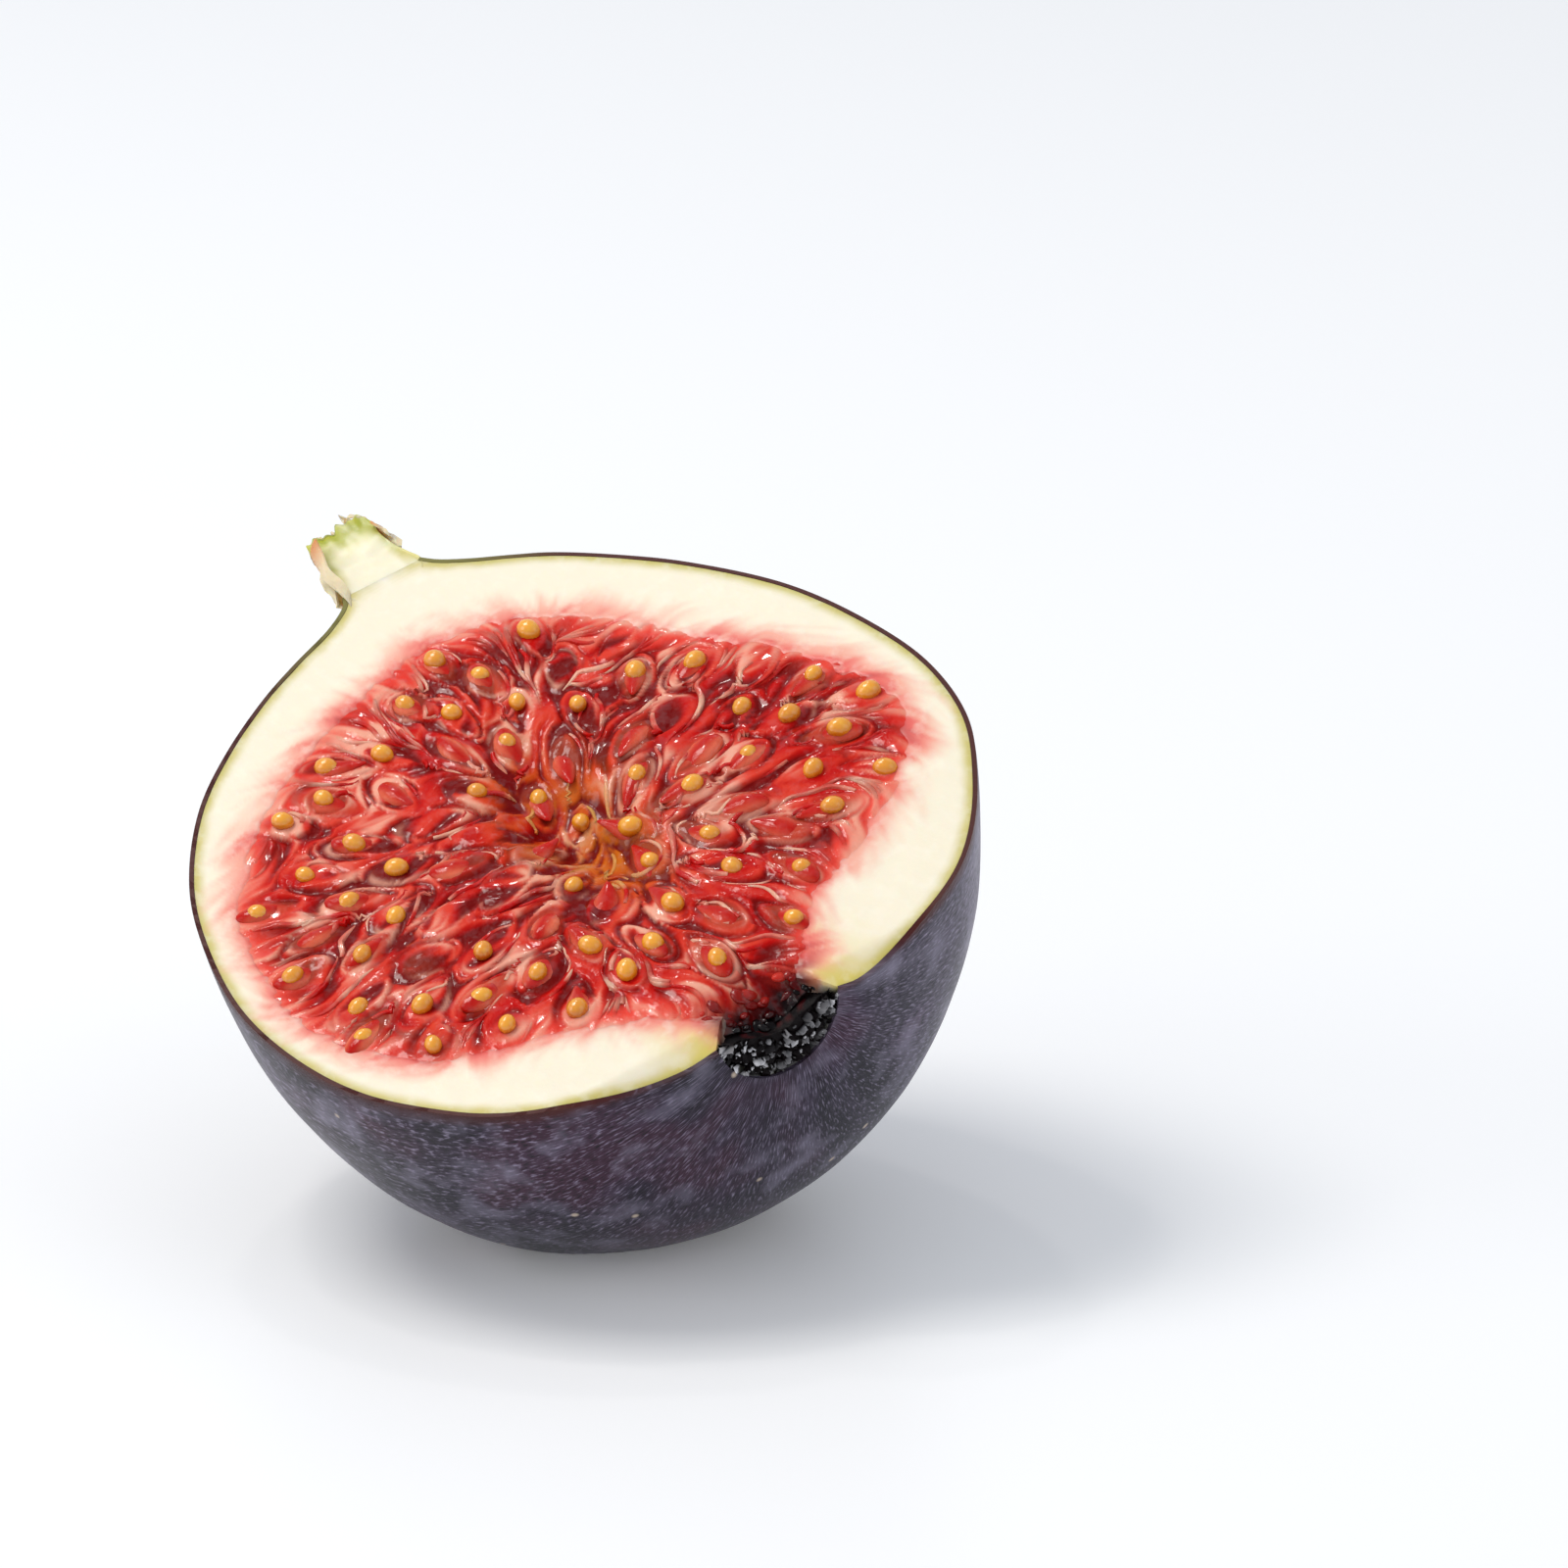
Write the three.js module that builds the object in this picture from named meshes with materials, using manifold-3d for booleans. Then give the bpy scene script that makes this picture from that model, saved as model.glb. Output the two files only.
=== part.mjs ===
// A fresh fig, halved lengthwise through its stem and its eye, lying on its skin with the cut face up.
// Units are millimetres. The fruit is laid out on its cut face and then tipped into the way it lies:
//   u runs along the cut face from the stem towards the eye, v across it, and w out of it, so the fruit
//   fills w < 0. The tipped fruit has +Z up and stands on Z = 0.
// A section of the fruit at one u is a half round with its centre at v = c, so each long profile below is
// a list of [u, c, r].
import * as THREE from 'three';
import { mergeVertices } from 'three/addons/utils/BufferGeometryUtils.js';
import Module from 'manifold-3d';

const wasm = await Module();
wasm.setup();

// Driving dimensions, from a fig 50 mm wide and 52 mm from neck to eye.
const SKIN_THICKNESS = 0.7;
const LAYER_GAP = 0.25;
const DEPTH_SHARE = 1.13; // how deep the half is, in radii: it was cut a little past its middle
const PITCH = THREE.MathUtils.degToRad(17.4); // the stem end is raised
const ROLL = THREE.MathUtils.degToRad(20.9); // the -v side is lowered
const REST_SAG = 2; // how far the soft skin is pressed flat where it lies
const REST_WALL = 1; // what is left of the flesh over the pressed skin

const SKIN_PROFILE = [
  [0.6, 1.3, 2.9], [1.5, 1.45, 3.5], [2.8, 1.4, 5.2], [4.3, 0.9, 8.0], [5.9, 0.5, 10.7],
  [9.0, -0.1, 14.6], [12.6, -0.4, 18.1], [18.7, -0.3, 22.0], [25, -0.1, 24.1], [31, 0.1, 24.95],
  [37, 0.2, 24.2], [42, 0, 22.1], [46, 0.1, 19.3], [48.4, 0.1, 16.9], [50.3, 0.1, 13.8],
  [51.8, 0.4, 9.6], [52.4, 1.1, 6.2], [52.2, 1.6, 4.3],
];
const PULP_PROFILE = [
  [7.6, 1.2, 0], [8.3, 0.9, 3.6], [10, 0.4, 7.2], [12.4, -0.7, 11.2], [15, -1.3, 14.2],
  [18, -1.8, 16.8], [21, -1.8, 19.1], [24.2, -1.3, 20.9], [28, -0.5, 22.2], [32, -0.3, 22.8],
  [36, -0.4, 21.8], [39.2, -0.7, 19.7], [42, -1.4, 16.8], [44.2, -1.6, 13.0], [45.6, -0.8, 9.6],
  [47.4, 0.4, 6.9], [49.2, 1.1, 5.1], [50.8, 1.6, 3.9],
];
const HEART = { u: 29, v: 0, length: 7, width: 3, depth: 2.2 }; // the hollow in the middle of the pulp
const RELIEF = { strands: 22, strand: 0.5, knot: 0.28, edge: 2.5 }; // strands run in to the hollow
const SEEDS = { tried: 150, spread: 27, length: 0.85, width: 0.66, margin: 1.6 };
const STEM = { u: -5.6, c: 1.1, r: 2.7 };
const EYE = { u: 51.95, c: 1.6, r: 3.35, length: 1.3 };

const ROWS = 30; // steps along a profile
const COLUMNS = 18; // steps round a half section
const PULP_ROWS = 42;
const PULP_COLUMNS = 44; // steps across the cut face of the pulp

const material = (color, roughness) => new THREE.MeshStandardMaterial({ color, roughness, metalness: 0 });
const SKIN_PURPLE = material(0x4a3a52, 0.55);
const FLESH_CREAM = material(0xf4e6bd, 0.5);
const PULP_RED = material(0xb8323a, 0.3);
const STEM_GREEN = material(0xa9ad3c, 0.7);
const EYE_DARK = material(0x2a1c22, 0.8);

// The way the half lies: the turn from (u, v, w) to the standing frame, and the floor seen from the fruit.
const pose = new THREE.Group();
pose.rotation.set(ROLL, PITCH, 0, 'YXZ');
const up = new THREE.Vector3(0, 0, 1).applyQuaternion(pose.quaternion.clone().invert());

// A profile as evenly spaced [u, c, r] points, moved inwards by a distance.
function profile(points, steps, inset = 0) {
  const curve = new THREE.CatmullRomCurve3(
    points.map((p) => new THREE.Vector3(...p)), false, 'centripetal');
  const spaced = curve.getSpacedPoints(steps);
  return spaced.map((p, i) => {
    const before = spaced[Math.max(i - 1, 0)];
    const after = spaced[Math.min(i + 1, steps)];
    const along = new THREE.Vector2(after.x - before.x, after.z - before.z).normalize();
    const radius = Math.max(p.z - inset * along.x, 0);
    return new THREE.Vector3(p.x + inset * along.y, p.y, radius);
  });
}

// One row of points round a half section, from v+ through the underside to v-.
function halfRound(p) {
  return Array.from({ length: COLUMNS + 1 }, (_, j) => {
    const turn = (j / COLUMNS) * Math.PI;
    const below = j % COLUMNS === 0 ? 0 : Math.sin(turn);
    return new THREE.Vector3(p.x, p.y + p.z * Math.cos(turn), -p.z * DEPTH_SHARE * below);
  });
}

// The lowest height of the unpressed skin, seen from the fruit.
const floorHeight = REST_SAG + Math.min(
  ...profile(SKIN_PROFILE, 4 * ROWS).flatMap((p) => halfRound(p).map((q) => q.dot(up))));

// Presses points up to a floor that lies a little above the skin's own for the inner layers.
function pressed(rows, above) {
  rows.flat().forEach((p) => {
    const lift = floorHeight + above - p.dot(up);
    if (lift > 0) p.addScaledVector(up, lift);
  });
  return rows;
}

// Gathers triangles from grids and fans into one closed geometry.
class Soup {
  constructor() {
    this.positions = [];
  }

  triangle(a, b, c) {
    const area = b.clone().sub(a).cross(c.clone().sub(a)).length();
    if (area > 1e-7) this.positions.push(...a, ...b, ...c);
  }

  // Rows of equal length, seen from the side on which the rows climb when the columns run right.
  grid(rows, flip = false) {
    for (let i = 0; i + 1 < rows.length; i += 1) {
      for (let j = 0; j + 1 < rows[i].length; j += 1) {
        const [a, b, c, d] = [rows[i][j], rows[i][j + 1], rows[i + 1][j + 1], rows[i + 1][j]];
        if (flip) {
          this.triangle(a, c, b);
          this.triangle(a, d, c);
        } else {
          this.triangle(a, b, c);
          this.triangle(a, c, d);
        }
      }
    }
  }

  fan(centre, loop) {
    loop.forEach((p, i) => this.triangle(centre, p, loop[(i + 1) % loop.length]));
  }

  geometry() {
    const loose = new THREE.BufferGeometry();
    loose.setAttribute('position', new THREE.Float32BufferAttribute(this.positions, 3));
    return mergeVertices(loose, 1e-4);
  }
}

// A closed layer between an outer and an inner set of rows, with its rims and its two ends.
function layer(outer, inner) {
  const last = outer.length - 1;
  const soup = new Soup();
  soup.grid(outer, true);
  soup.grid(inner);
  soup.grid([outer.map((row) => row[0]), inner.map((row) => row[0])], true);
  soup.grid([outer.map((row) => row[COLUMNS]), inner.map((row) => row[COLUMNS])]);
  soup.grid([outer[0], inner[0]]);
  soup.grid([outer[last], inner[last]], true);
  return soup.geometry();
}

function toSolid(geometry) {
  const bare = geometry.clone();
  bare.deleteAttribute('normal');
  bare.deleteAttribute('uv');
  const merged = mergeVertices(bare, 1e-4);
  return new wasm.Manifold(new wasm.Mesh({
    numProp: 3,
    vertProperties: new Float32Array(merged.attributes.position.array),
    triVerts: new Uint32Array(merged.index.array),
  }));
}

function toGeometry(solid) {
  const mesh = solid.getMesh();
  const geometry = new THREE.BufferGeometry();
  geometry.setAttribute('position', new THREE.BufferAttribute(mesh.vertProperties, 3));
  geometry.setIndex(new THREE.BufferAttribute(mesh.triVerts, 1));
  return geometry;
}

// Everything on the fruit's side of the cut.
const underCut = new THREE.BoxGeometry(200, 200, 100).translate(0, 0, -50);

// Repeatable random numbers from 0 to 1, by a count and a channel.
function scatter(n, channel) {
  const x = Math.sin(n * 12.9898 + channel * 78.233) * 43758.5453;
  return x - Math.floor(x);
}

// Skin: a thin bowl, open at the neck and at the eye.
function skinGeometry() {
  const outer = profile(SKIN_PROFILE, ROWS).map(halfRound);
  const inner = profile(SKIN_PROFILE, ROWS, SKIN_THICKNESS).map(halfRound);
  return layer(pressed(outer, 0), pressed(inner, SKIN_THICKNESS));
}

// Flesh: the cream wall inside the skin, with the room for the pulp and its channel to the eye.
function fleshGeometry() {
  const inset = SKIN_THICKNESS + LAYER_GAP;
  const wall = profile(SKIN_PROFILE, ROWS, inset);
  const neckMiddle = new THREE.Vector3(wall[0].x, wall[0].y, 0);
  const outer = [neckMiddle, ...wall].map(halfRound);
  const inner = profile(PULP_PROFILE, ROWS + 1).map(halfRound);
  return layer(pressed(outer, inset), pressed(inner, inset + REST_WALL));
}

// The section of the pulp at one u, as [c, r].
const pulpSections = profile(PULP_PROFILE, PULP_ROWS, LAYER_GAP);
function pulpAt(u) {
  const i = pulpSections.findIndex((p) => p.x > u);
  if (i < 1) return [0, 0];
  const [a, b] = [pulpSections[i - 1], pulpSections[i]];
  const share = (u - a.x) / (b.x - a.x);
  return [THREE.MathUtils.lerp(a.y, b.y, share), THREE.MathUtils.lerp(a.z, b.z, share)];
}

// Height of the pulp over the cut: strands that run to the heart, and the hollow there.
function pulpRelief(u, v) {
  const [c, r] = pulpAt(u);
  const inwards = THREE.MathUtils.smoothstep(r - Math.abs(v - c), 0, RELIEF.edge);
  const [du, dv] = [u - HEART.u, v - HEART.v];
  const reach = Math.hypot(du, dv);
  const turn = Math.atan2(dv, du);
  const strand = Math.cos(RELIEF.strands * turn + 1.6 * Math.sin(0.42 * reach + 3 * turn));
  const knot = Math.sin(0.95 * u + 0.4 * v) * Math.sin(0.9 * v - 0.3 * u);
  const hollow = Math.exp(-((du / HEART.length) ** 2) - (dv / HEART.width) ** 2);
  const near = THREE.MathUtils.smoothstep(reach, 1.5, 7);
  return inwards * ((RELIEF.strand * strand + RELIEF.knot * knot) * near - HEART.depth * hollow);
}

// Pulp: the red mass of florets that fills the wall, with the golden seeds that stand out of it.
function pulpGeometry() {
  const above = SKIN_THICKNESS + REST_WALL + 2 * LAYER_GAP;
  const under = pressed(pulpSections.map(halfRound), above);
  const face = pulpSections.map((p) => Array.from({ length: PULP_COLUMNS + 1 }, (_, j) => {
    const v = p.y + p.z * (1 - (2 * j) / PULP_COLUMNS);
    const atEdge = j % PULP_COLUMNS === 0;
    return new THREE.Vector3(p.x, v, atEdge ? 0 : pulpRelief(p.x, v));
  }));
  const last = under.length - 1;
  const soup = new Soup();
  soup.grid(under, true);
  soup.grid(face);
  const mouth = pulpSections[last];
  const loop = [...face[last].slice(1, -1), ...[...under[last]].reverse()];
  soup.fan(new THREE.Vector3(mouth.x, mouth.y, -mouth.z / 2), loop);
  let solid = toSolid(soup.geometry());
  for (const seed of seedGeometries()) solid = solid.add(toSolid(seed));
  return toGeometry(solid);
}

// Seeds lie on a sunflower spiral about the heart, each a little off its place and half sunk.
function seedGeometries() {
  const goldenTurn = Math.PI * (3 - Math.sqrt(5));
  const seeds = [];
  for (let n = 3; n < SEEDS.tried; n += 1) {
    const reach = SEEDS.spread * Math.sqrt(n / SEEDS.tried);
    const turn = n * goldenTurn;
    const u = HEART.u + reach * Math.cos(turn) + 1.2 * (scatter(n, 1) - 0.5);
    const v = HEART.v + reach * Math.sin(turn) + 1.2 * (scatter(n, 2) - 0.5);
    const [c, r] = pulpAt(u);
    if (Math.abs(v - c) > r - SEEDS.margin || scatter(n, 3) < 0.3) continue;
    const seed = new THREE.SphereGeometry(1, 6, 4);
    seed.scale(SEEDS.length, SEEDS.width, SEEDS.width);
    seed.rotateZ(turn + scatter(n, 4) - 0.5);
    seed.translate(u, v, pulpRelief(u, v) + 0.15);
    seeds.push(seed);
  }
  return seeds;
}

// A papery scale of the stem: a bent leaf that tapers to its tip, hinged at its root.
function bract(length, width, thickness) {
  const rows = [0, 0.35, 0.7, 1].map((share) => {
    const half = 0.5 * width * Math.sqrt(1 - share * 0.9 * share);
    const bow = 0.5 * Math.sin(share * Math.PI * 0.5);
    return [[-half, 0], [half, 0], [half, thickness], [-half, thickness]].map(
      ([across, out]) => new THREE.Vector3(share * length, across, out + bow));
  });
  const soup = new Soup();
  soup.grid(rows.map((row) => [...row, row[0]]));
  soup.fan(rows[0][0], [...rows[0]].reverse());
  soup.fan(rows[3][0], rows[3]);
  return soup.geometry();
}

// Stem: the halved stub with its broken end and three scales that stand off its foot.
function stemGeometry() {
  const foot = SKIN_PROFILE[0];
  const stub = [
    [STEM.u, STEM.c, 0], [STEM.u - 0.3, STEM.c + 0.3, 1.7], [STEM.u + 0.4, STEM.c, STEM.r],
    [-3.2, 1.1, 2.45], [-1.2, 1.2, 2.5], [foot[0] - LAYER_GAP, foot[1], foot[2]],
  ].map((p) => halfRound(new THREE.Vector3(...p)));
  const soup = new Soup();
  soup.grid(stub, true);
  soup.grid(stub.map((row) => [row[0], row[COLUMNS]]));
  const last = stub[stub.length - 1];
  soup.fan(new THREE.Vector3(foot[0] - LAYER_GAP, foot[1], -foot[2] / 2), [...last].reverse());
  let solid = toSolid(soup.geometry());
  const scales = [
    { at: -4.4, turn: 172, length: 5.6, width: 3.4, lean: -14 },
    { at: -3.2, turn: 62, length: 3.6, width: 3.6, lean: -10 },
    { at: -5.4, turn: 112, length: 3.2, width: 3.0, lean: 6 },
  ];
  for (const scale of scales) {
    const turn = THREE.MathUtils.degToRad(scale.turn);
    const leaf = bract(scale.length, scale.width, 0.7);
    leaf.rotateY(THREE.MathUtils.degToRad(scale.lean));
    leaf.translate(0, 0, STEM.r - 0.6);
    leaf.rotateX(-turn - Math.PI * 1.5);
    leaf.translate(scale.at, STEM.c, 0);
    solid = solid.add(toSolid(leaf));
  }
  return toGeometry(solid.intersect(toSolid(underCut)));
}

// Eye: the halved plug of small dark scales that closes the opening at the blossom end.
function eyeGeometry() {
  const plug = new THREE.CylinderGeometry(EYE.r, EYE.r - 0.2, EYE.length, 20);
  plug.rotateZ(-Math.PI / 2).translate(EYE.u - EYE.length / 2 + 0.35, EYE.c, 0);
  let solid = toSolid(plug);
  const rings = [
    { r: 2.75, count: 13, lean: 50 },
    { r: 1.75, count: 9, lean: 30 },
    { r: 0.8, count: 5, lean: 12 },
  ];
  rings.forEach((ring, k) => {
    for (let n = 0; n < ring.count; n += 1) {
      const turn = Math.PI * ((n + 0.5 * (k % 2) + 0.3) / ring.count);
      const scale = new THREE.ConeGeometry(0.62, 1.5 + 0.5 * scatter(n, k + 5), 4);
      scale.scale(1, 1, 0.5).rotateZ(-Math.PI / 2);
      scale.rotateY(THREE.MathUtils.degToRad(ring.lean));
      scale.translate(EYE.u + 0.6, 0, -ring.r).rotateX(turn - Math.PI / 2).translate(0, EYE.c, 0);
      solid = solid.add(toSolid(scale));
    }
  });
  return toGeometry(solid.intersect(toSolid(underCut)));
}

function piece(name, geometry, finish) {
  const mesh = new THREE.Mesh(geometry, finish);
  mesh.name = name;
  return mesh;
}

pose.add(
  piece('skin', skinGeometry(), SKIN_PURPLE),
  piece('flesh', fleshGeometry(), FLESH_CREAM),
  piece('pulp', pulpGeometry(), PULP_RED),
  piece('stem', stemGeometry(), STEM_GREEN),
  piece('eye', eyeGeometry(), EYE_DARK),
);

// The fruit is moved so that it stands on Z = 0 with its origin under the middle of its box.
const fig = new THREE.Group();
fig.add(pose);
fig.updateMatrixWorld(true);
const reach = new THREE.Box3().setFromObject(fig, true);
const middle = reach.getCenter(new THREE.Vector3());
pose.position.set(-middle.x, -middle.y, -reach.min.z);

export default fig;
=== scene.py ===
# %% [markdown]
# # A fresh fig, halved
# The fig was cut lengthwise through its stem and its eye, and the half lies on its skin with the cut face
# up. The frame holds plain solids of its skin, flesh, pulp, stem and eye at their real size. Here each of
# them gets a finer piece in the same place, with its colours and its gloss.
# Everything is modelled flat on the cut face, in millimetres, where it is easy to think about: u runs from
# the stem to the eye, v across the face and w out of it, so the fruit fills w < 0. A finished piece is
# then stood the way the half lies, in metres.

# %% Load the frame
import math

import bpy
import numpy as np
from mathutils import Matrix, Vector, kdtree, noise


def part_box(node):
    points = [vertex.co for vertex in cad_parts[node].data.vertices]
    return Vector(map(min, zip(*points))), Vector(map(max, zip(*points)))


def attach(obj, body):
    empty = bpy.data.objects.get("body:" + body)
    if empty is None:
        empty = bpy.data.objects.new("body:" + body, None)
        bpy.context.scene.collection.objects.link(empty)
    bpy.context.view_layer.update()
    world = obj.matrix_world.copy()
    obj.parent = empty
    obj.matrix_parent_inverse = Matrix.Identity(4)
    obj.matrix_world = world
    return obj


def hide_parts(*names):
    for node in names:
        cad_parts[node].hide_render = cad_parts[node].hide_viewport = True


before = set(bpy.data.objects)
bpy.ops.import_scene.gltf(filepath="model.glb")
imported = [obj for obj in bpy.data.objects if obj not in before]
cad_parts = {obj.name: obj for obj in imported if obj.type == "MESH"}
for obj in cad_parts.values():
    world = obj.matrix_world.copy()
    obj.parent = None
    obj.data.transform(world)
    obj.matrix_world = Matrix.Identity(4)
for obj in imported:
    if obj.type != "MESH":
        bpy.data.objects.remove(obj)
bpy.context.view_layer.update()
print("frame nodes:", sorted(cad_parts))

# %% [markdown]
# ## Camera
# The photograph was taken with a long lens from a little above the table. A long lens makes near and far
# parts of the fruit almost the same size, so the lens and the distance are set together: moving closer
# with a short lens would swell the near rim. The camera is placed by an angle round the fruit and a height
# angle, which is how a photographer would walk round it.

# %% Camera
VIEW = {"azimuth": 58.75, "elevation": 18.0, "distance": 0.55, "lens": 201.5}
AIM = Vector((0.0119, 0.0102, 0.0285))


def toward(azimuth, elevation):
    """The direction from the fruit to a viewer. At azimuth 0 the viewer stands on the -Y side."""
    turn, rise = math.radians(azimuth), math.radians(elevation)
    return Vector((math.sin(turn) * math.cos(rise), -math.cos(turn) * math.cos(rise), math.sin(rise)))


to_camera = toward(VIEW["azimuth"], VIEW["elevation"])
bpy.ops.object.select_all(action="DESELECT")
bpy.ops.object.camera_add(location=AIM + VIEW["distance"] * to_camera)
camera = bpy.context.object
camera.name = "camera"
camera.rotation_euler = to_camera.to_track_quat("Z", "Y").to_euler()
camera.data.lens = VIEW["lens"]
camera.data.sensor_width = 36
bpy.context.scene.camera = camera
print("camera at", [round(x, 4) for x in camera.location])

# %% [markdown]
# ## The way the half lies
# The stem end is raised and one side is lowered, so a flat model has to be turned twice. The soft underside
# is pressed flat where it carries the weight: points below the floor are lifted to it along the upright.
# The long profiles are smooth curves through a few measured points of [u, centre, radius].

# %% Sizes of the fruit
MM = 0.001
PITCH, ROLL = math.radians(17.4), math.radians(20.9)
REST_SAG = 2
REST_WALL = 1
DEPTH_SHARE = 1.13
SKIN_EDGE = 0.3
LAYER_GAP = 0.25
SKIN_PROFILE = [
    [0.6, 1.3, 2.9], [1.5, 1.45, 3.5], [2.8, 1.4, 5.2], [4.3, 0.9, 8.0], [5.9, 0.5, 10.7],
    [9.0, -0.1, 14.6], [12.6, -0.4, 18.1], [18.7, -0.3, 22.0], [25, -0.1, 24.1], [31, 0.1, 24.95],
    [37, 0.2, 24.2], [42, 0, 22.1], [46, 0.1, 19.3], [48.4, 0.1, 16.9], [50.3, 0.1, 13.8],
    [51.8, 0.4, 9.6], [52.4, 1.1, 6.2], [52.2, 1.6, 4.3],
]
PULP_PROFILE = [
    [7.6, 1.2, 0], [8.3, 0.9, 3.6], [10, 0.4, 7.2], [12.4, -0.7, 11.2], [15, -1.3, 14.2],
    [18, -1.8, 16.8], [21, -1.8, 19.1], [24.2, -1.3, 20.9], [28, -0.5, 22.2], [32, -0.3, 22.8],
    [36, -0.4, 21.8], [39.2, -0.7, 19.7], [42, -1.4, 16.8], [44.2, -1.6, 13.0], [45.6, -0.8, 9.6],
    [47.4, 0.4, 6.9], [49.2, 1.1, 5.1], [50.8, 1.6, 3.9],
]
LIE = Matrix.Rotation(PITCH, 3, "Y") @ Matrix.Rotation(ROLL, 3, "X")
UP = np.array(LIE.transposed() @ Vector((0, 0, 1)))


def smooth_profile(points, steps, inset=0):
    """Evenly spaced [u, centre, radius] rows on a smooth curve through the points, moved inwards."""
    p = np.array(points, float)
    p = np.vstack([2 * p[0] - p[1], p, 2 * p[-1] - p[-2]])
    share = np.linspace(0, 1, 40, endpoint=False)[:, None]
    dense = []
    for a, b, c, d in zip(p[:-3], p[1:-2], p[2:-1], p[3:]):
        ab, bc, cd = (math.sqrt(np.linalg.norm(side)) for side in (b - a, c - b, d - c))
        leave = bc * ((b - a) / ab - (c - a) / (ab + bc) + (c - b) / bc)
        reach = bc * ((c - b) / bc - (d - b) / (bc + cd) + (d - c) / cd)
        bend = 3 * (c - b) - 2 * leave - reach
        twist = 2 * (b - c) + leave + reach
        dense.append(b + leave * share + bend * share**2 + twist * share**3)
    dense = np.vstack([*dense, p[-2:-1]])
    length = np.concatenate([[0], np.cumsum(np.linalg.norm(np.diff(dense, axis=0), axis=1))])
    at = np.linspace(0, length[-1], steps + 1)
    rows = np.column_stack([np.interp(at, length, dense[:, k]) for k in range(3)])
    along = np.gradient(rows[:, [0, 2]], axis=0)
    along /= np.linalg.norm(along, axis=1)[:, None]
    rows[:, 0] += inset * along[:, 1]
    rows[:, 2] = np.maximum(rows[:, 2] - inset * along[:, 0], 0)
    return rows


def half_round(rows, turns):
    """Points of a half-round bowl: one for each row and each turn from v+ under the fruit to v-."""
    u, centre, radius = (rows[:, k, None] for k in range(3))
    v = centre + radius * np.cos(turns)
    return np.stack([u + 0 * v, v, -DEPTH_SHARE * radius * np.sin(turns)], axis=-1)


bowl_points = half_round(smooth_profile(SKIN_PROFILE, 300), np.linspace(0, math.pi, 180)).reshape(-1, 3)
floor_height = REST_SAG + (bowl_points @ UP).min()


def pressed(points, above=0):
    """Lifts points that would be under the floor, or under a layer of the given thickness on it."""
    lift = np.maximum(floor_height + above - points @ UP, 0)
    return points + lift[:, None] * UP


stood = pressed(bowl_points) @ np.array(LIE).T * MM
skin_low, skin_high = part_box("skin")
place = (skin_low + skin_high) / 2 - Vector((stood.min(0) + stood.max(0)) / 2)
place.z = skin_low.z - stood[:, 2].min()
STAND = Matrix.Translation(place) @ LIE.to_4x4() @ Matrix.Scale(MM, 4)
print("cut face origin stands at", [round(x * 1000, 2) for x in place], "mm")

# %% [markdown]
# ## Small tools
# Each piece is made with the same few moves: change the points as one array, write a colour on every
# point, and hand the piece to the frame. The colour is kept as an attribute of the mesh rather than an
# image, so it needs no unwrapping and follows the surface exactly.


# %% Tools for meshes
def deselect_all():
    if bpy.context.object and bpy.context.object.mode != "OBJECT":
        bpy.ops.object.mode_set(mode="OBJECT")
    bpy.ops.object.select_all(action="DESELECT")


def choose(*pieces):
    deselect_all()
    for piece in pieces:
        piece.select_set(True)
    bpy.context.view_layer.objects.active = pieces[0]


def added(name):
    piece = bpy.context.object
    piece.name = name
    return piece


def get_points(piece):
    points = np.zeros(3 * len(piece.data.vertices))
    piece.data.vertices.foreach_get("co", points)
    return points.reshape(-1, 3)


def set_points(piece, points):
    piece.data.vertices.foreach_set("co", np.asarray(points, float).ravel())
    piece.data.update()


def paint(piece, colours, pattern=1.0):
    """Writes one colour for each point, and how much of a finish's own pattern may lie over it."""
    layer = piece.data.attributes.new("tint", "FLOAT_COLOR", "POINT")
    full = np.ones((len(piece.data.vertices), 4))
    full[:, :3] = colours
    full[:, 3] = pattern
    layer.data.foreach_set("color", full.ravel())


def apply_modifier(piece, kind, **settings):
    choose(piece)
    modifier = piece.modifiers.new(kind.title(), kind)
    for key, value in settings.items():
        setattr(modifier, key, value)
    bpy.ops.object.modifier_apply(modifier=modifier.name)


def join(*pieces):
    choose(*pieces)
    bpy.ops.object.join()
    return bpy.context.object


def edit_all(piece):
    choose(piece)
    bpy.ops.object.mode_set(mode="EDIT")
    bpy.ops.mesh.select_all(action="SELECT")


def close_up(piece, distance=1e-4):
    """Merges doubled points and turns every face outwards."""
    edit_all(piece)
    bpy.ops.mesh.remove_doubles(threshold=distance)
    bpy.ops.mesh.normals_make_consistent(inside=False)
    bpy.ops.object.mode_set(mode="OBJECT")


def finish_piece(piece, node, finish):
    """Stands a piece in the frame, gives it its finish and lets it replace the plain solid."""
    piece.data.transform(STAND)
    piece.data.materials.clear()
    piece.data.materials.append(finish)
    choose(piece)
    bpy.ops.object.shade_smooth_by_angle(angle=math.radians(60))
    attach(piece, "root")
    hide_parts(node)
    low, high = get_points(piece).min(0) * 1000, get_points(piece).max(0) * 1000
    print(piece.name, len(piece.data.polygons), "faces", low.round(1), "to", high.round(1), "mm")


# %% Tools for colours and fades
def srgb(red, green, blue):
    """A colour as seen on a screen, 0 to 255, turned to the linear values that shaders use."""
    c = np.array([red, green, blue]) / 255
    return np.where(c < 0.04045, c / 12.92, ((c + 0.055) / 1.055) ** 2.4)


def fade(x, start, end):
    """A smooth step from 0 at the start to 1 at the end. The end may be the lower of the two."""
    t = np.clip((x - start) / (end - start), 0, 1)
    return t * t * (3 - 2 * t)


def mix(a, b, share):
    return a + (b - a) * np.asarray(share)[..., None]


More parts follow.
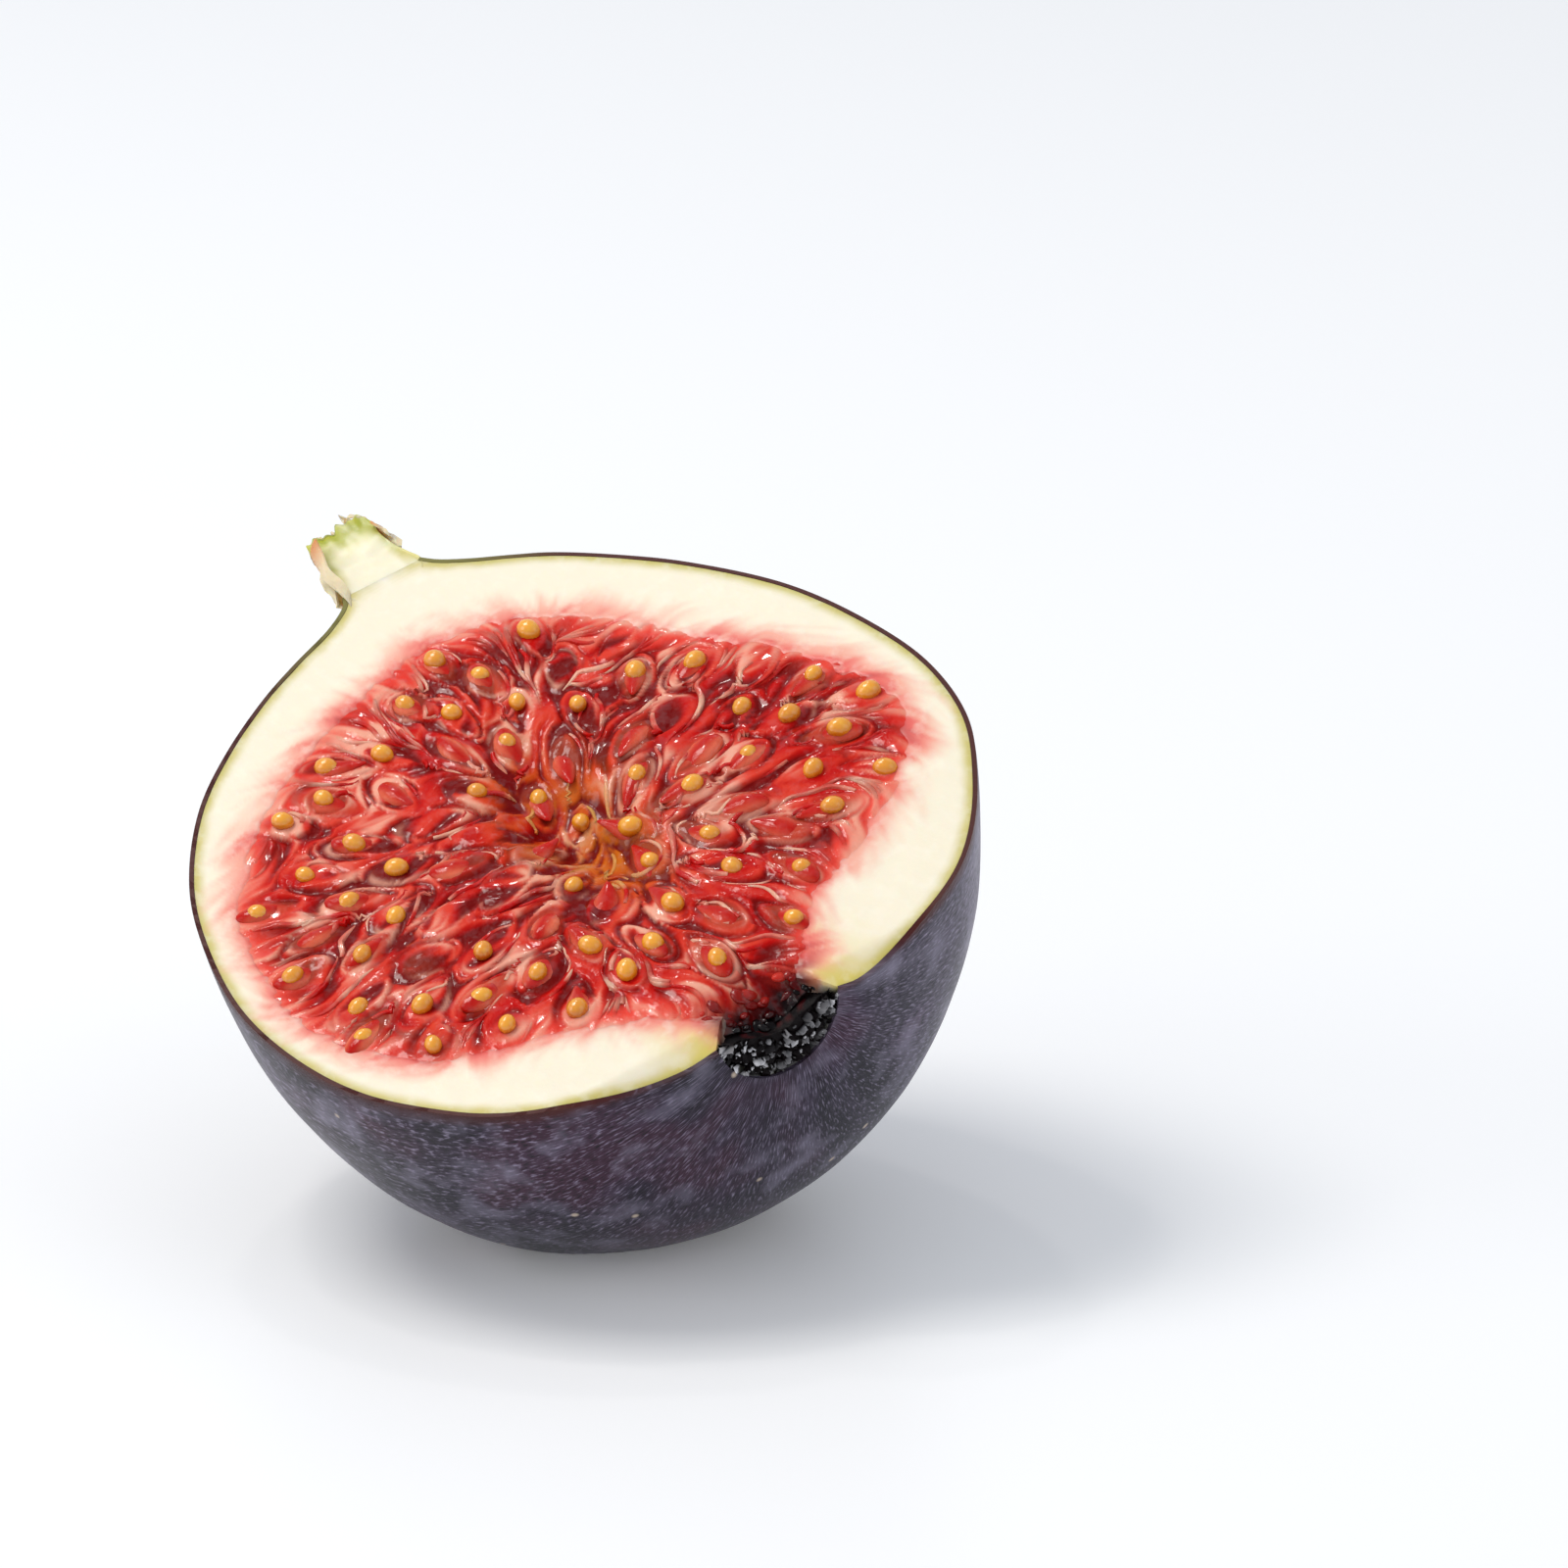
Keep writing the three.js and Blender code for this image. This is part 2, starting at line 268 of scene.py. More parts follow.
def layered(base, *layers):
    """Lays colours over a base one after another, each with its own share."""
    for colour, share in layers:
        base = mix(base, colour, share)
    return base


def noise_at(points):
    return np.array([noise.noise(p) for p in points.tolist()])


# %% [markdown]
# ## Bowls
# The skin, the flesh and the pulp are all half-round bowls. A bowl is drawn as on paper: one point is
# extruded along the long profile, and the line is spun half a turn round the fruit's axis. Its sections
# are then moved to their own centres, which a spin can't do, and the underside is pressed flat.


# %% Bowl
def section_at(rows, u):
    """The centre and the radius of a bowl at each u. The radius is 0 before its first row."""
    order = np.argsort(rows[:, 0])
    centre = np.interp(u, rows[order, 0], rows[order, 1])
    return centre, np.interp(u, rows[order, 0], rows[order, 2], left=0)


def half_bowl(name, rows, columns, above):
    deselect_all()
    bpy.ops.mesh.primitive_plane_add(size=1)
    bowl = added(name)
    edit_all(bowl)
    bpy.ops.mesh.merge(type="CENTER")
    bpy.ops.transform.translate(value=(rows[0][0], rows[0][2], 0))
    for before, after in zip(rows, rows[1:]):
        step = (after[0] - before[0], after[2] - before[2], 0)
        bpy.ops.mesh.extrude_region_move(TRANSFORM_OT_translate={"value": step})
    bpy.ops.mesh.select_all(action="SELECT")
    bpy.ops.mesh.spin(steps=columns, angle=math.pi, center=(0, 0, 0), axis=(1, 0, 0))
    bpy.ops.mesh.select_all(action="SELECT")
    bpy.ops.mesh.remove_doubles(threshold=1e-4)
    bpy.ops.object.mode_set(mode="OBJECT")
    points = get_points(bowl)
    points[:, 1] += section_at(rows, points[:, 0])[0]
    points[:, 2] *= DEPTH_SHARE
    set_points(bowl, points if above is None else pressed(points, above))
    return bowl


# %% Filled bowl
def filled_bowl(name, rows, columns, turns, above, height):
    """A bowl with a fine sheet laid over its mouth. The sheet's heights come from a rule of u and v, and
    stay above the bowl itself. The upright ends are cut into triangles, as they may be hollow in outline."""
    deselect_all()
    steps = len(rows) - 1
    bpy.ops.mesh.primitive_grid_add(x_subdivisions=steps, y_subdivisions=columns, size=2)
    sheet = added(name)
    square = get_points(sheet)
    step = (square[:, 0] + 1) / 2 * steps
    u, centre, radius = (np.interp(step, np.arange(steps + 1), rows[:, k]) for k in range(3))
    v = centre + radius * square[:, 1]
    to_side = 1 - np.abs(square[:, 1])
    depth = np.minimum(0.8 * DEPTH_SHARE * np.sqrt(1 - (1 - to_side) ** 2), 8 * to_side) * radius
    w = np.where(to_side < 1e-4, 0, np.maximum(height(u, v), -depth))
    set_points(sheet, np.column_stack([u, v, w]))
    piece = join(sheet, half_bowl(name, rows, turns, above))
    edit_all(piece)
    bpy.ops.mesh.remove_doubles(threshold=2e-3)
    bpy.ops.mesh.fill_holes(sides=0)
    bpy.ops.mesh.quads_convert_to_tris()
    bpy.ops.object.mode_set(mode="OBJECT")
    close_up(piece)
    return piece


# %% [markdown]
# ## A map of the cut face
# The red pulp is hundreds of small florets packed round a hollow. Each is a pale sac, with a seed at its
# outer end, and threads run between the sacs towards the hollow. Placing every thread by hand would take
# days. Instead a map of the face holds a direction at every place: inwards, bent by some noise, and led
# round each sac like water round a stone. Smearing fine noise along those directions gives streaks that
# flow as the threads do. The same map gives the heights and the colours, so the pulp and the flesh meet
# without a seam. The face has two dips: the heart in its middle, and the mouth that leads into the eye.

# %% Map and its noise
CELL = 0.14
HEART = {"u": 29, "v": 0, "length": 7, "width": 3, "depth": 2.2}
MOUTH = {"u": 51.0, "v": 1.5, "length": 2.4, "width": 3.3, "depth": 2.3}
EYE = {"u": 51.95, "centre": 1.6, "radius": 4.05}
map_u = np.arange(-1, 55, CELL)
map_v = np.arange(-27, 27, CELL)
uu, vv = np.meshgrid(map_u, map_v, indexing="ij")
chance = np.random.default_rng(11)


def on_map(field, u, v):
    """A field's value between the map's own places, for arrays of u and v."""
    i = np.clip((u - map_u[0]) / CELL, 0, len(map_u) - 1.001)
    j = np.clip((v - map_v[0]) / CELL, 0, len(map_v) - 1.001)
    i0, j0 = i.astype(int), j.astype(int)
    a, b = i - i0, j - j0
    if field.ndim == 3:
        a, b = a[..., None], b[..., None]
    near = field[i0, j0] * (1 - b) + field[i0, j0 + 1] * b
    far = field[i0 + 1, j0] * (1 - b) + field[i0 + 1, j0 + 1] * b
    return near * (1 - a) + far * a


def at_place(field, u, v):
    return float(on_map(field, np.array(u), np.array(v)))


def clouds(size, layer):
    """Soft noise from about -1 to 1, with lumps of the given size in millimetres."""
    flat = [noise.noise((u / size, v / size, layer)) for u, v in zip(uu.ravel(), vv.ravel())]
    return 1.6 * np.array(flat).reshape(uu.shape)


# %% Distances to the edge of the pulp and to the skin
pulp_rows = smooth_profile(PULP_PROFILE, 400, LAYER_GAP)
skin_rows = smooth_profile(SKIN_PROFILE, 500)


def distance_to(rows):
    """The distance of each place on the cut face to a profile's outline."""
    tree = kdtree.KDTree(2 * len(rows))
    for n, (u, centre, radius) in enumerate(rows):
        tree.insert((u, centre + radius, 0), 2 * n)
        tree.insert((u, centre - radius, 0), 2 * n + 1)
    tree.balance()
    flat = [tree.find((u, v, 0))[2] for u, v in zip(uu.ravel(), vv.ravel())]
    return np.array(flat).reshape(uu.shape)


pulp_centre, pulp_radius = section_at(pulp_rows, uu)
edge_distance = distance_to(pulp_rows)
edge_distance = np.where(np.abs(vv - pulp_centre) < pulp_radius, edge_distance, -edge_distance)
rim_distance = distance_to(skin_rows)
print("the pulp reaches", edge_distance.max().round(1), "mm in from its edge")

# %% Places of the florets
SPIRAL = {"tried": 150, "spread": 27, "margin": 1.6, "end": 46.5}
GOLDEN_TURN = math.pi * (3 - math.sqrt(5))


def scatter(n, channel):
    """A repeatable random number from 0 to 1."""
    x = math.sin(n * 12.9898 + channel * 78.233) * 43758.5453
    return x - math.floor(x)


def place_florets():
    florets = []
    for n in range(1, SPIRAL["tried"]):
        reach = SPIRAL["spread"] * math.sqrt(n / SPIRAL["tried"])
        turn = n * GOLDEN_TURN
        u = HEART["u"] + reach * math.cos(turn) + 1.2 * (scatter(n, 1) - 0.5)
        v = HEART["v"] + reach * math.sin(turn) + 1.2 * (scatter(n, 2) - 0.5)
        centre, radius = section_at(pulp_rows, u)
        if abs(v - centre) > radius - SPIRAL["margin"] or u > SPIRAL["end"]:
            continue
        florets.append({
            "n": n, "u": u, "v": v, "seed": scatter(n, 3) >= 0.3,
            "turn": math.atan2(HEART["v"] - v, HEART["u"] - u) + 0.9 * (scatter(n, 4) - 0.5),
            "length": 1.75 + 0.6 * scatter(n, 5), "width": 0.95 + 0.35 * scatter(n, 6),
        })
    return florets


florets = place_florets()
print(len(florets), "florets,", sum(f["seed"] for f in florets), "with a seed in sight")

# %% Directions on the face
swirl = 1.1 * clouds(8, 1.5) + 0.55 * clouds(3.2, 4.5)
heart_u = np.clip(uu, HEART["u"] - 4, HEART["u"] + 4)
course = np.arctan2(HEART["v"] - vv, heart_u - uu) + swirl
flow_u, flow_v = np.cos(course), np.sin(course)
sac = np.full(uu.shape, 9.0)
sac_tone = np.zeros(uu.shape)

for floret in florets:
    cosine, sine = math.cos(floret["turn"]), math.sin(floret["turn"])
    middle_u = floret["u"] + 0.5 * cosine
    middle_v = floret["v"] + 0.5 * sine
    i = np.abs(map_u - middle_u) < 4
    j = np.abs(map_v - middle_v) < 4
    window = np.ix_(i, j)
    du, dv = uu[window] - middle_u, vv[window] - middle_v
    along, across = du * cosine + dv * sine, dv * cosine - du * sine
    taper = 1 - 0.4 * fade(along, -0.2, floret["length"])
    x, y = along / floret["length"], across / (floret["width"] * taper)
    ring = np.hypot(x, y)
    tangent = np.arctan2(x / floret["length"], -y / floret["width"]) + floret["turn"]
    tu, tv = np.cos(tangent), np.sin(tangent)
    side = np.sign(tu * flow_u[window] + tv * flow_v[window])
    pull = np.exp(-(((ring - 1.15) / 0.45) ** 2))
    flow_u[window] += pull * (side * tu - flow_u[window])
    flow_v[window] += pull * (side * tv - flow_v[window])
    nearer = ring < sac[window]
    sac[window] = np.where(nearer, ring, sac[window])
    sac_tone[window] = np.where(nearer, scatter(floret["n"], 7), sac_tone[window])

flow_size = np.hypot(flow_u, flow_v) + 1e-6
flow_u, flow_v = flow_u / flow_size, flow_v / flow_size


# %% Streaks
def smear(grain, reach):
    """Averages a noise along the directions, so that it turns into streaks."""
    total, weight = grain.copy(), 1.0
    steps = int(reach / CELL)
    for way in (1, -1):
        u, v = uu.copy(), vv.copy()
        for step in range(1, steps):
            u += way * CELL * on_map(flow_u, u, v)
            v += way * CELL * on_map(flow_v, u, v)
            share = 0.5 + 0.5 * math.cos(math.pi * step / steps)
            total += share * on_map(grain, u, v)
            weight += share
    total /= weight
    total -= total.mean()
    return np.clip(total / (2 * total.std()), -1.3, 1.3)


def soften(field, times):
    for _ in range(times):
        field = (np.roll(field, 1, 0) + field + np.roll(field, -1, 0)) / 3
        field = (np.roll(field, 1, 1) + field + np.roll(field, -1, 1)) / 3
    return field


fine_streaks = smear(soften(chance.random(uu.shape), 1), 2.4)
broad_streaks = smear(soften(chance.random(uu.shape), 8), 6.0)
folds = np.cos(3.9 * broad_streaks + 0.7 * fine_streaks)
print("streaks range from", broad_streaks.min().round(2), "to", broad_streaks.max().round(2))

# %% Heights
def dip(place):
    """How much of a dip there is at each place of the map: 1 in its middle and 0 far from it."""
    from_u = (uu - place["u"]) / place["length"]
    from_v = (vv - place["v"]) / place["width"]
    return np.exp(-(from_u**2) - from_v**2)


hollow, mouth = dip(HEART), dip(MOUTH)
ripe = fade(edge_distance, 0, 2.5)
lumps = clouds(4.5, 7.5)
in_sac = 1 - fade(sac, 0.7, 1.15)
crevice = np.exp(-(((sac - 1.3) / 0.2) ** 2)) * fade(lumps + fine_streaks, -0.4, 0.9)
relief = 0.12 * folds + 0.06 * fine_streaks + 0.16 * lumps - 0.12 * crevice
relief += in_sac * (0.1 - 0.08 * folds)
ragged = 0.35 * fine_streaks + 0.3 * clouds(1.8, 16.5)
meeting = edge_distance + ragged * fade(edge_distance, 0, 0.8)
tucked = 0.12 * (1 - fade(meeting, 0, 1.2))
heights = ripe * relief - tucked - HEART["depth"] * hollow - MOUTH["depth"] * mouth
print("heights from", heights.min().round(2), "to", heights.max().round(2), "mm")

# %% Colours
IVORY = srgb(243, 233, 208)
LEAF_YELLOW = srgb(202, 186, 84)
EYE_YELLOW = srgb(226, 204, 92)
BLUSH = srgb(240, 150, 126)
CORAL = srgb(234, 66, 52)
SALMON = srgb(234, 74, 52)
CRIMSON = srgb(196, 10, 7)
GARNET = srgb(116, 3, 3)
SHELL_PINK = srgb(244, 176, 150)
ROSE = srgb(172, 70, 46)
AMBER = srgb(198, 122, 14)
# Dark red painted into the mouth's dip as shade on the way into the eye.
MOUTH_SHADE_RED = srgb(92, 1, 2)
# Black for the eye: painted shade deep in its hole, and the dark of its scales.
EYE_SHADE_AND_DARK = srgb(10, 4, 6)

wobble = 0.5 * clouds(2.6, 2.5) + 0.55 * broad_streaks + 0.6 * fine_streaks
by_eye = np.hypot(uu - 51.5, vv - EYE["centre"])
wall = layered(
    LEAF_YELLOW,
    (IVORY, fade(rim_distance + 0.1 * clouds(1.2, 8.5), 0.3, 1.2)),
    (EYE_YELLOW, 0.85 * fade(by_eye + 0.9 * wobble, 9, 3.5)),
    (BLUSH, 0.8 * fade(edge_distance + 0.9 * wobble, -2.2, 0.6)),
)
paleness = clouds(3.4, 14.5)
deep = 0.35 * fade(edge_distance, 3, 9)
rim_of_sac = np.exp(-(((sac - 0.98) / 0.1) ** 2)) * fade(paleness + fine_streaks, 0.1, 1.1)
ribbons = layered(
    GARNET,
    (CRIMSON, fade(folds + 0.3 * fine_streaks - deep, -1.0, 0.3)),
    (SALMON, 0.7 * fade(folds + 0.5 * paleness, 0.2, 1.1)),
    (SHELL_PINK, 0.9 * fade(folds + 0.6 * paleness, 0.9, 1.35)),
    (ROSE, 0.6 * in_sac * fade(sac_tone + 0.3 * lumps, 0.3, 0.8)),
    (SHELL_PINK, 0.8 * rim_of_sac),
    # The grooves round the sacs are painted darker red: painted shade in the grooves, over the pulp's own
    # deep red.
    (GARNET, 0.7 * crevice),
)
young = mix(CORAL, SHELL_PINK, 0.75 * fade(folds + 0.5 * fine_streaks, 0.2, 1.3))
at_mouth = np.exp(-(((vv - EYE["centre"]) / 3.6) ** 4))
# Going into the mouth the pulp is painted dark red, then black: painted shade down in the dip that leads
# into the eye.
ribbons = layered(
    mix(young, ribbons, fade(edge_distance + wobble, 0.2, 3.0)),
    (AMBER, 0.75 * np.clip(1.4 * hollow, 0, 1) * fade(lumps + 0.8 * folds, -0.8, 0.8)),
    (MOUTH_SHADE_RED, np.clip(1.6 * mouth, 0, 1)),
    (EYE_SHADE_AND_DARK, at_mouth * fade(uu + 0.7 * fine_streaks + 0.7 * lumps, 48.8, 50.6)),
)
face_tint = mix(wall, ribbons, fade(edge_distance + 0.6 * wobble, -0.9, 1.0))
print("face map of", uu.shape, "places")

# %% [markdown]
# ## Skin
# A ripe fig's skin is thin, dark purple and dull, because a grey bloom of wax lies on it. Fine lines run
# lengthwise, and the neck stays greener. The bowl is spun, pushed a little along its lengthwise lines for
# ribs that are felt more than seen, and thickened inwards with Solidify, so the cut shows the skin's edge.

# %% Skin bowl
SKIN_STEPS, SKIN_TURNS = 150, 120


def grain_of(points, rows):
    """How far along and how far round the fruit each point is, for lines that run lengthwise."""
    centre = section_at(rows, points[:, 0])[0]
    turn = np.arctan2(-points[:, 2], (points[:, 1] - centre) * DEPTH_SHARE)
    reach = np.hypot(points[:, 1] - centre, points[:, 2] / DEPTH_SHARE)
    widest = rows[rows[:, 2].argmax()]
    along = points[:, 0] + np.sign(points[:, 0] - widest[0]) * (widest[2] - reach)
    return np.column_stack([along, turn, reach])


def sunk_at_eye(points):
    """Rounds off the two corners of the cut face beside the eye."""
    sunk = points.copy()
    sunk[:, 2] -= 0.6 * fade(points[:, 0], 50.2, 52.3) * fade(points[:, 2], -1.0, 0)
    return sunk


bowl_rows = smooth_profile(SKIN_PROFILE, SKIN_STEPS)
skin = half_bowl("skin_bowl", bowl_rows, SKIN_TURNS, None)
grain = grain_of(get_points(skin), bowl_rows)
ribs = [noise.noise((3.2 * turn, 0.02 * u, 0.5)) + 0.4 * noise.noise((11 * turn, 0.03 * u, 2.5))
        for u, turn, _ in grain]
outwards = get_points(skin) * (0, 1, 1)
outwards /= np.linalg.norm(outwards, axis=1)[:, None] + 1e-9
inset = 0.12 + 0.12 * np.clip(ribs, -1, 1)
inset *= fade(grain[:, 2], 3, 12) * fade(-get_points(skin)[:, 2], 0, 3)
set_points(skin, pressed(get_points(skin) - outwards * inset[:, None]))
close_up(skin)
apply_modifier(skin, "SOLIDIFY", thickness=SKIN_EDGE, offset=-1, use_even_offset=False)
skin_points = sunk_at_eye(get_points(skin))
set_points(skin, skin_points)
grain = grain_of(skin_points, bowl_rows)
layer = skin.data.attributes.new("grain", "FLOAT_VECTOR", "POINT")
layer.data.foreach_set("vector", grain.ravel())
print("skin bowl", len(skin.data.polygons), "faces")

# %% Skin colours
PLUM = srgb(50, 38, 56)
NIGHT = srgb(24, 20, 32)
WINE = srgb(68, 32, 50)
WAX_AND_SHEEN = srgb(134, 124, 152)
NECK_GREEN = srgb(120, 116, 56)
RIM_BROWN = srgb(72, 24, 18)

u, v, w = skin_points.T
patches = np.array([noise.fractal(p / 9, 0.6, 2.0, 3) for p in map(Vector, skin_points)])
skin_tint = layered(
    NIGHT,
    (PLUM, fade(patches, -0.5, 0.4)),
    (WINE, 0.6 * fade(patches, 0.05, 0.6)),
    # The wax colour grows towards the v+ side: the real grey bloom, and a painted sheen where light grazes
    # that side.
    (WAX_AND_SHEEN, 0.5 * fade(v + 4 * patches, 4, 22)),
)
skin_tint = mix(NECK_GREEN, skin_tint, fade(u + 2 * patches, 0.5, 6.5))
cut = fade(w, -1.1, -0.1)
rim_tint = mix(NECK_GREEN, RIM_BROWN, fade(u, 1.5, 7))
paint(skin, mix(skin_tint, rim_tint, cut), 1 - cut)


# %% Tools for finishes
def set_inputs(node, settings):
    for name, value in settings.items():
        node.inputs[name].default_value = value


def new_finish(name):
    """A new finish with its nodes, its links, its shader and the place of each point on the piece."""
    finish = bpy.data.materials.new(name)
    finish.use_nodes = True
    nodes, links = finish.node_tree.nodes, finish.node_tree.links
    place = nodes.new("ShaderNodeTexCoord").outputs["Object"]
    return finish, nodes, links, nodes["Principled BSDF"], place


def tint_node(nodes):
    node = nodes.new("ShaderNodeAttribute")
    node.attribute_name = "tint"
    return node


def bumped(nodes, links, shader, height, distance, strength=1.0):
    bump = nodes.new("ShaderNodeBump")
    set_inputs(bump, {"Distance": distance, "Strength": strength})
    links.new(height, bump.inputs["Height"])
    links.new(bump.outputs["Normal"], shader.inputs["Normal"])


def mottled(nodes, links, base, other, pattern, none, full):
    """Mixes another colour into a base, by a pattern: no share at one of its values, all at the other."""
    span = nodes.new("ShaderNodeMapRange")
    set_inputs(span, {"From Min": none, "From Max": full})
    links.new(pattern, span.inputs["Value"])
    blend = nodes.new("ShaderNodeMix")
    blend.data_type = "RGBA"
    links.new(span.outputs["Result"], blend.inputs["Factor"])
    links.new(base, blend.inputs["A"])
    blend.inputs["B"].default_value = (*other, 1)
    return blend.outputs["Result"]


def noise_node(nodes, links, vector, scale, detail=3.0, stretch=None):
    if stretch:
        mapping = nodes.new("ShaderNodeMapping")
        mapping.inputs["Scale"].default_value = stretch
        links.new(vector, mapping.inputs["Vector"])
        vector = mapping.outputs["Vector"]
    pattern = nodes.new("ShaderNodeTexNoise")
    set_inputs(pattern, {"Scale": scale, "Detail": detail})
    links.new(vector, pattern.inputs["Vector"])
    return pattern.outputs["Fac"]


# %% Skin finish
BLOOM_BAND = srgb(80, 70, 92)
BLOOM_LINE = srgb(156, 146, 170)
DARK_LINE = srgb(12, 9, 18)
BLOOM_DUST = srgb(136, 130, 150)
PALE_SPECK = srgb(196, 178, 160)


def skin_finish():
    finish, nodes, links, shader, place = new_finish("fig_skin")
    grain = nodes.new("ShaderNodeAttribute")
    grain.attribute_name = "grain"
    lines = noise_node(nodes, links, grain.outputs["Vector"], 1.0, 2.0, (1.2, 76, 0))
    bands = noise_node(nodes, links, grain.outputs["Vector"], 1.0, 3.0, (0.08, 5, 0))
    bloom = noise_node(nodes, links, place, 300, 7.0)
    spots = nodes.new("ShaderNodeTexVoronoi")
    spots.inputs["Scale"].default_value = 260
    links.new(place, spots.inputs["Vector"])
    tint = tint_node(nodes)
    colour = tint.outputs["Color"]
    for other, pattern, none, full in (
        (BLOOM_BAND, bands, 0.5, 1.1),
        (BLOOM_LINE, lines, 0.54, 0.82),
        (DARK_LINE, lines, 0.48, 0.28),
        (BLOOM_DUST, bloom, 0.5, 0.85),
        (PALE_SPECK, spots.outputs["Distance"], 0.08, 0.04),
    ):
        colour = mottled(nodes, links, colour, other, pattern, none, full)
    outside = nodes.new("ShaderNodeMix")
    outside.data_type = "RGBA"
    links.new(tint.outputs["Alpha"], outside.inputs["Factor"])
    links.new(tint.outputs["Color"], outside.inputs["A"])
    links.new(colour, outside.inputs["B"])
    links.new(outside.outputs["Result"], shader.inputs["Base Color"])
    set_inputs(shader, {
        "Roughness": 0.4, "Specular IOR Level": 0.2,
        "Sheen Weight": 0.08, "Sheen Roughness": 0.4, "Sheen Tint": (0.74, 0.72, 0.86, 1),
    })
    bumped(nodes, links, shader, lines, 0.0001, 0.5)
    return finish


finish_piece(skin, "skin", skin_finish())

# %% [markdown]
# ## Flesh
# Inside the skin is a moist cream wall, yellow-green where it meets the skin and pink where it meets the
# pulp. It is two bowls, one inside the other, with their rims bridged. The bridge is cut into many bands,
# because the colours live on the points and need enough of them to fade smoothly.

# %% Flesh wall
FLESH_STEPS, FLESH_TURNS, FLESH_BANDS = 220, 36, 26
wall_inset = SKIN_EDGE + 0.02
outer_rows = smooth_profile(SKIN_PROFILE, FLESH_STEPS, wall_inset)
neck_middle = np.array([[outer_rows[0, 0], outer_rows[0, 1], 0]])
outer_rows = np.vstack([neck_middle, outer_rows])
inner_rows = smooth_profile(PULP_PROFILE, FLESH_STEPS + 1, LAYER_GAP + 1.3)
outer_bowl = half_bowl("flesh_wall", outer_rows, FLESH_TURNS, wall_inset)
inner_bowl = half_bowl("flesh_room", inner_rows, FLESH_TURNS, wall_inset + REST_WALL)
flesh = join(outer_bowl, inner_bowl)
bpy.ops.object.mode_set(mode="EDIT")
bpy.ops.mesh.select_all(action="DESELECT")
bpy.ops.mesh.select_non_manifold(extend=False, use_boundary=True, use_wire=False,
                                 use_multi_face=False, use_non_contiguous=False, use_verts=False)
bpy.ops.mesh.bridge_edge_loops(number_cuts=FLESH_BANDS, interpolation="LINEAR")
bpy.ops.object.mode_set(mode="OBJECT")
close_up(flesh, 1e-3)
flesh_points = get_points(flesh)
u, v, w = flesh_points.T
dimples = on_map(clouds(1.6, 9.5), u, v)
tuck = fade(on_map(meeting, u, v), 0.35, 1.3)
flesh_points[:, 2] += fade(w, -0.4, -0.05) * (0.015 * dimples - 0.03 - 0.3 * tuck)
flesh_points = sunk_at_eye(flesh_points)
set_points(flesh, flesh_points)
print("flesh wall", len(flesh.data.polygons), "faces")

# %% Flesh colours and finish
CREAM = srgb(250, 244, 226)

u, v, w = flesh_points.T
neck_centre = SKIN_PROFILE[0][1]
off_middle = np.abs(v - neck_centre)
flesh_tint = layered(
    on_map(face_tint, u, v),
    (IVORY, fade(u, 3, 2) * fade(off_middle, 2.6, 1.6)),
    (LEAF_YELLOW, 0.8 * fade(u, 3, 0.6) * fade(off_middle, 1.8, 3.0)),
)
flesh_tint = mix(IVORY, flesh_tint, fade(w, -2.5, -0.5))
# Deep in the mouth the flesh is painted black: painted shade inside the eye's hole.
mouth_shade = fade(u, 50.4, 51.4) * fade(w, -0.5, -1.0)
paint(flesh, mix(flesh_tint, EYE_SHADE_AND_DARK, mouth_shade))


def flesh_finish(name):
    finish, nodes, links, shader, place = new_finish(name)
    cells = noise_node(nodes, links, place, 900, 4.0)
    colour = mottled(nodes, links, tint_node(nodes).outputs["Color"], CREAM, cells, 0.5, 1.2)
    links.new(colour, shader.inputs["Base Color"])
    set_inputs(shader, {
        "Roughness": 0.42, "Coat Weight": 0.25, "Coat Roughness": 0.25,
        "Subsurface Weight": 0.35, "Subsurface Radius": (1.0, 0.7, 0.4), "Subsurface Scale": 0.0012,
    })
    bumped(nodes, links, shader, cells, 0.00008, 0.5)
    return finish


finish_piece(flesh, "flesh", flesh_finish("fig_flesh"))

# %% [markdown]
# ## Pulp bed
# The pulp is wet and almost clear, so its colour comes from within and its gloss from a film of juice. A
# fine grid is laid over the room in the flesh and takes its heights and colours from the map. A small bowl
# under it closes the piece, as the pulp fills the whole room.

# %% Pulp bed
BED_STEPS, BED_COLUMNS, BED_TURNS = 290, 290, 16
bed_rows = smooth_profile(PULP_PROFILE, BED_STEPS, LAYER_GAP)
bed = filled_bowl("pulp_bed", bed_rows, BED_COLUMNS, BED_TURNS, wall_inset + REST_WALL + LAYER_GAP,
                  lambda u, v: on_map(heights, u, v))
bed_points = get_points(bed)
u, v, w = bed_points.T
at_edge = on_map(edge_distance, u, v) < 0.15
bed_points[at_edge & (w > -0.05), 2] -= 0.15
set_points(bed, bed_points)
# Its end by the eye is painted black: painted shade inside the eye's hole.
paint(bed, mix(on_map(face_tint, u, v), EYE_SHADE_AND_DARK, fade(u, 50.5, 50.68)))


# %% Pulp finish
def pulp_finish(name, gloss, clear):
    finish, nodes, links, shader, place = new_finish(name)
    film = noise_node(nodes, links, place, 1500, 2.0)
    drops = nodes.new("ShaderNodeMapRange")
    set_inputs(drops, {"From Min": 0.5, "From Max": 0.6, "To Min": gloss})
    links.new(film, drops.inputs["Value"])
    links.new(drops.outputs["Result"], shader.inputs["Coat Weight"])
    links.new(tint_node(nodes).outputs["Color"], shader.inputs["Base Color"])
    set_inputs(shader, {
        "Roughness": 0.35, "Specular IOR Level": 0.05, "Coat Roughness": 0.06, "Coat IOR": 1.4,
        "Subsurface Weight": clear, "Subsurface Radius": (1.0, 0.25, 0.18), "Subsurface Scale": 0.0009,
    })
    bumped(nodes, links, shader, film, 0.0002, 0.6)
    return finish


finish_piece(bed, "pulp", pulp_finish("fig_pulp", 0.08, 0.1))
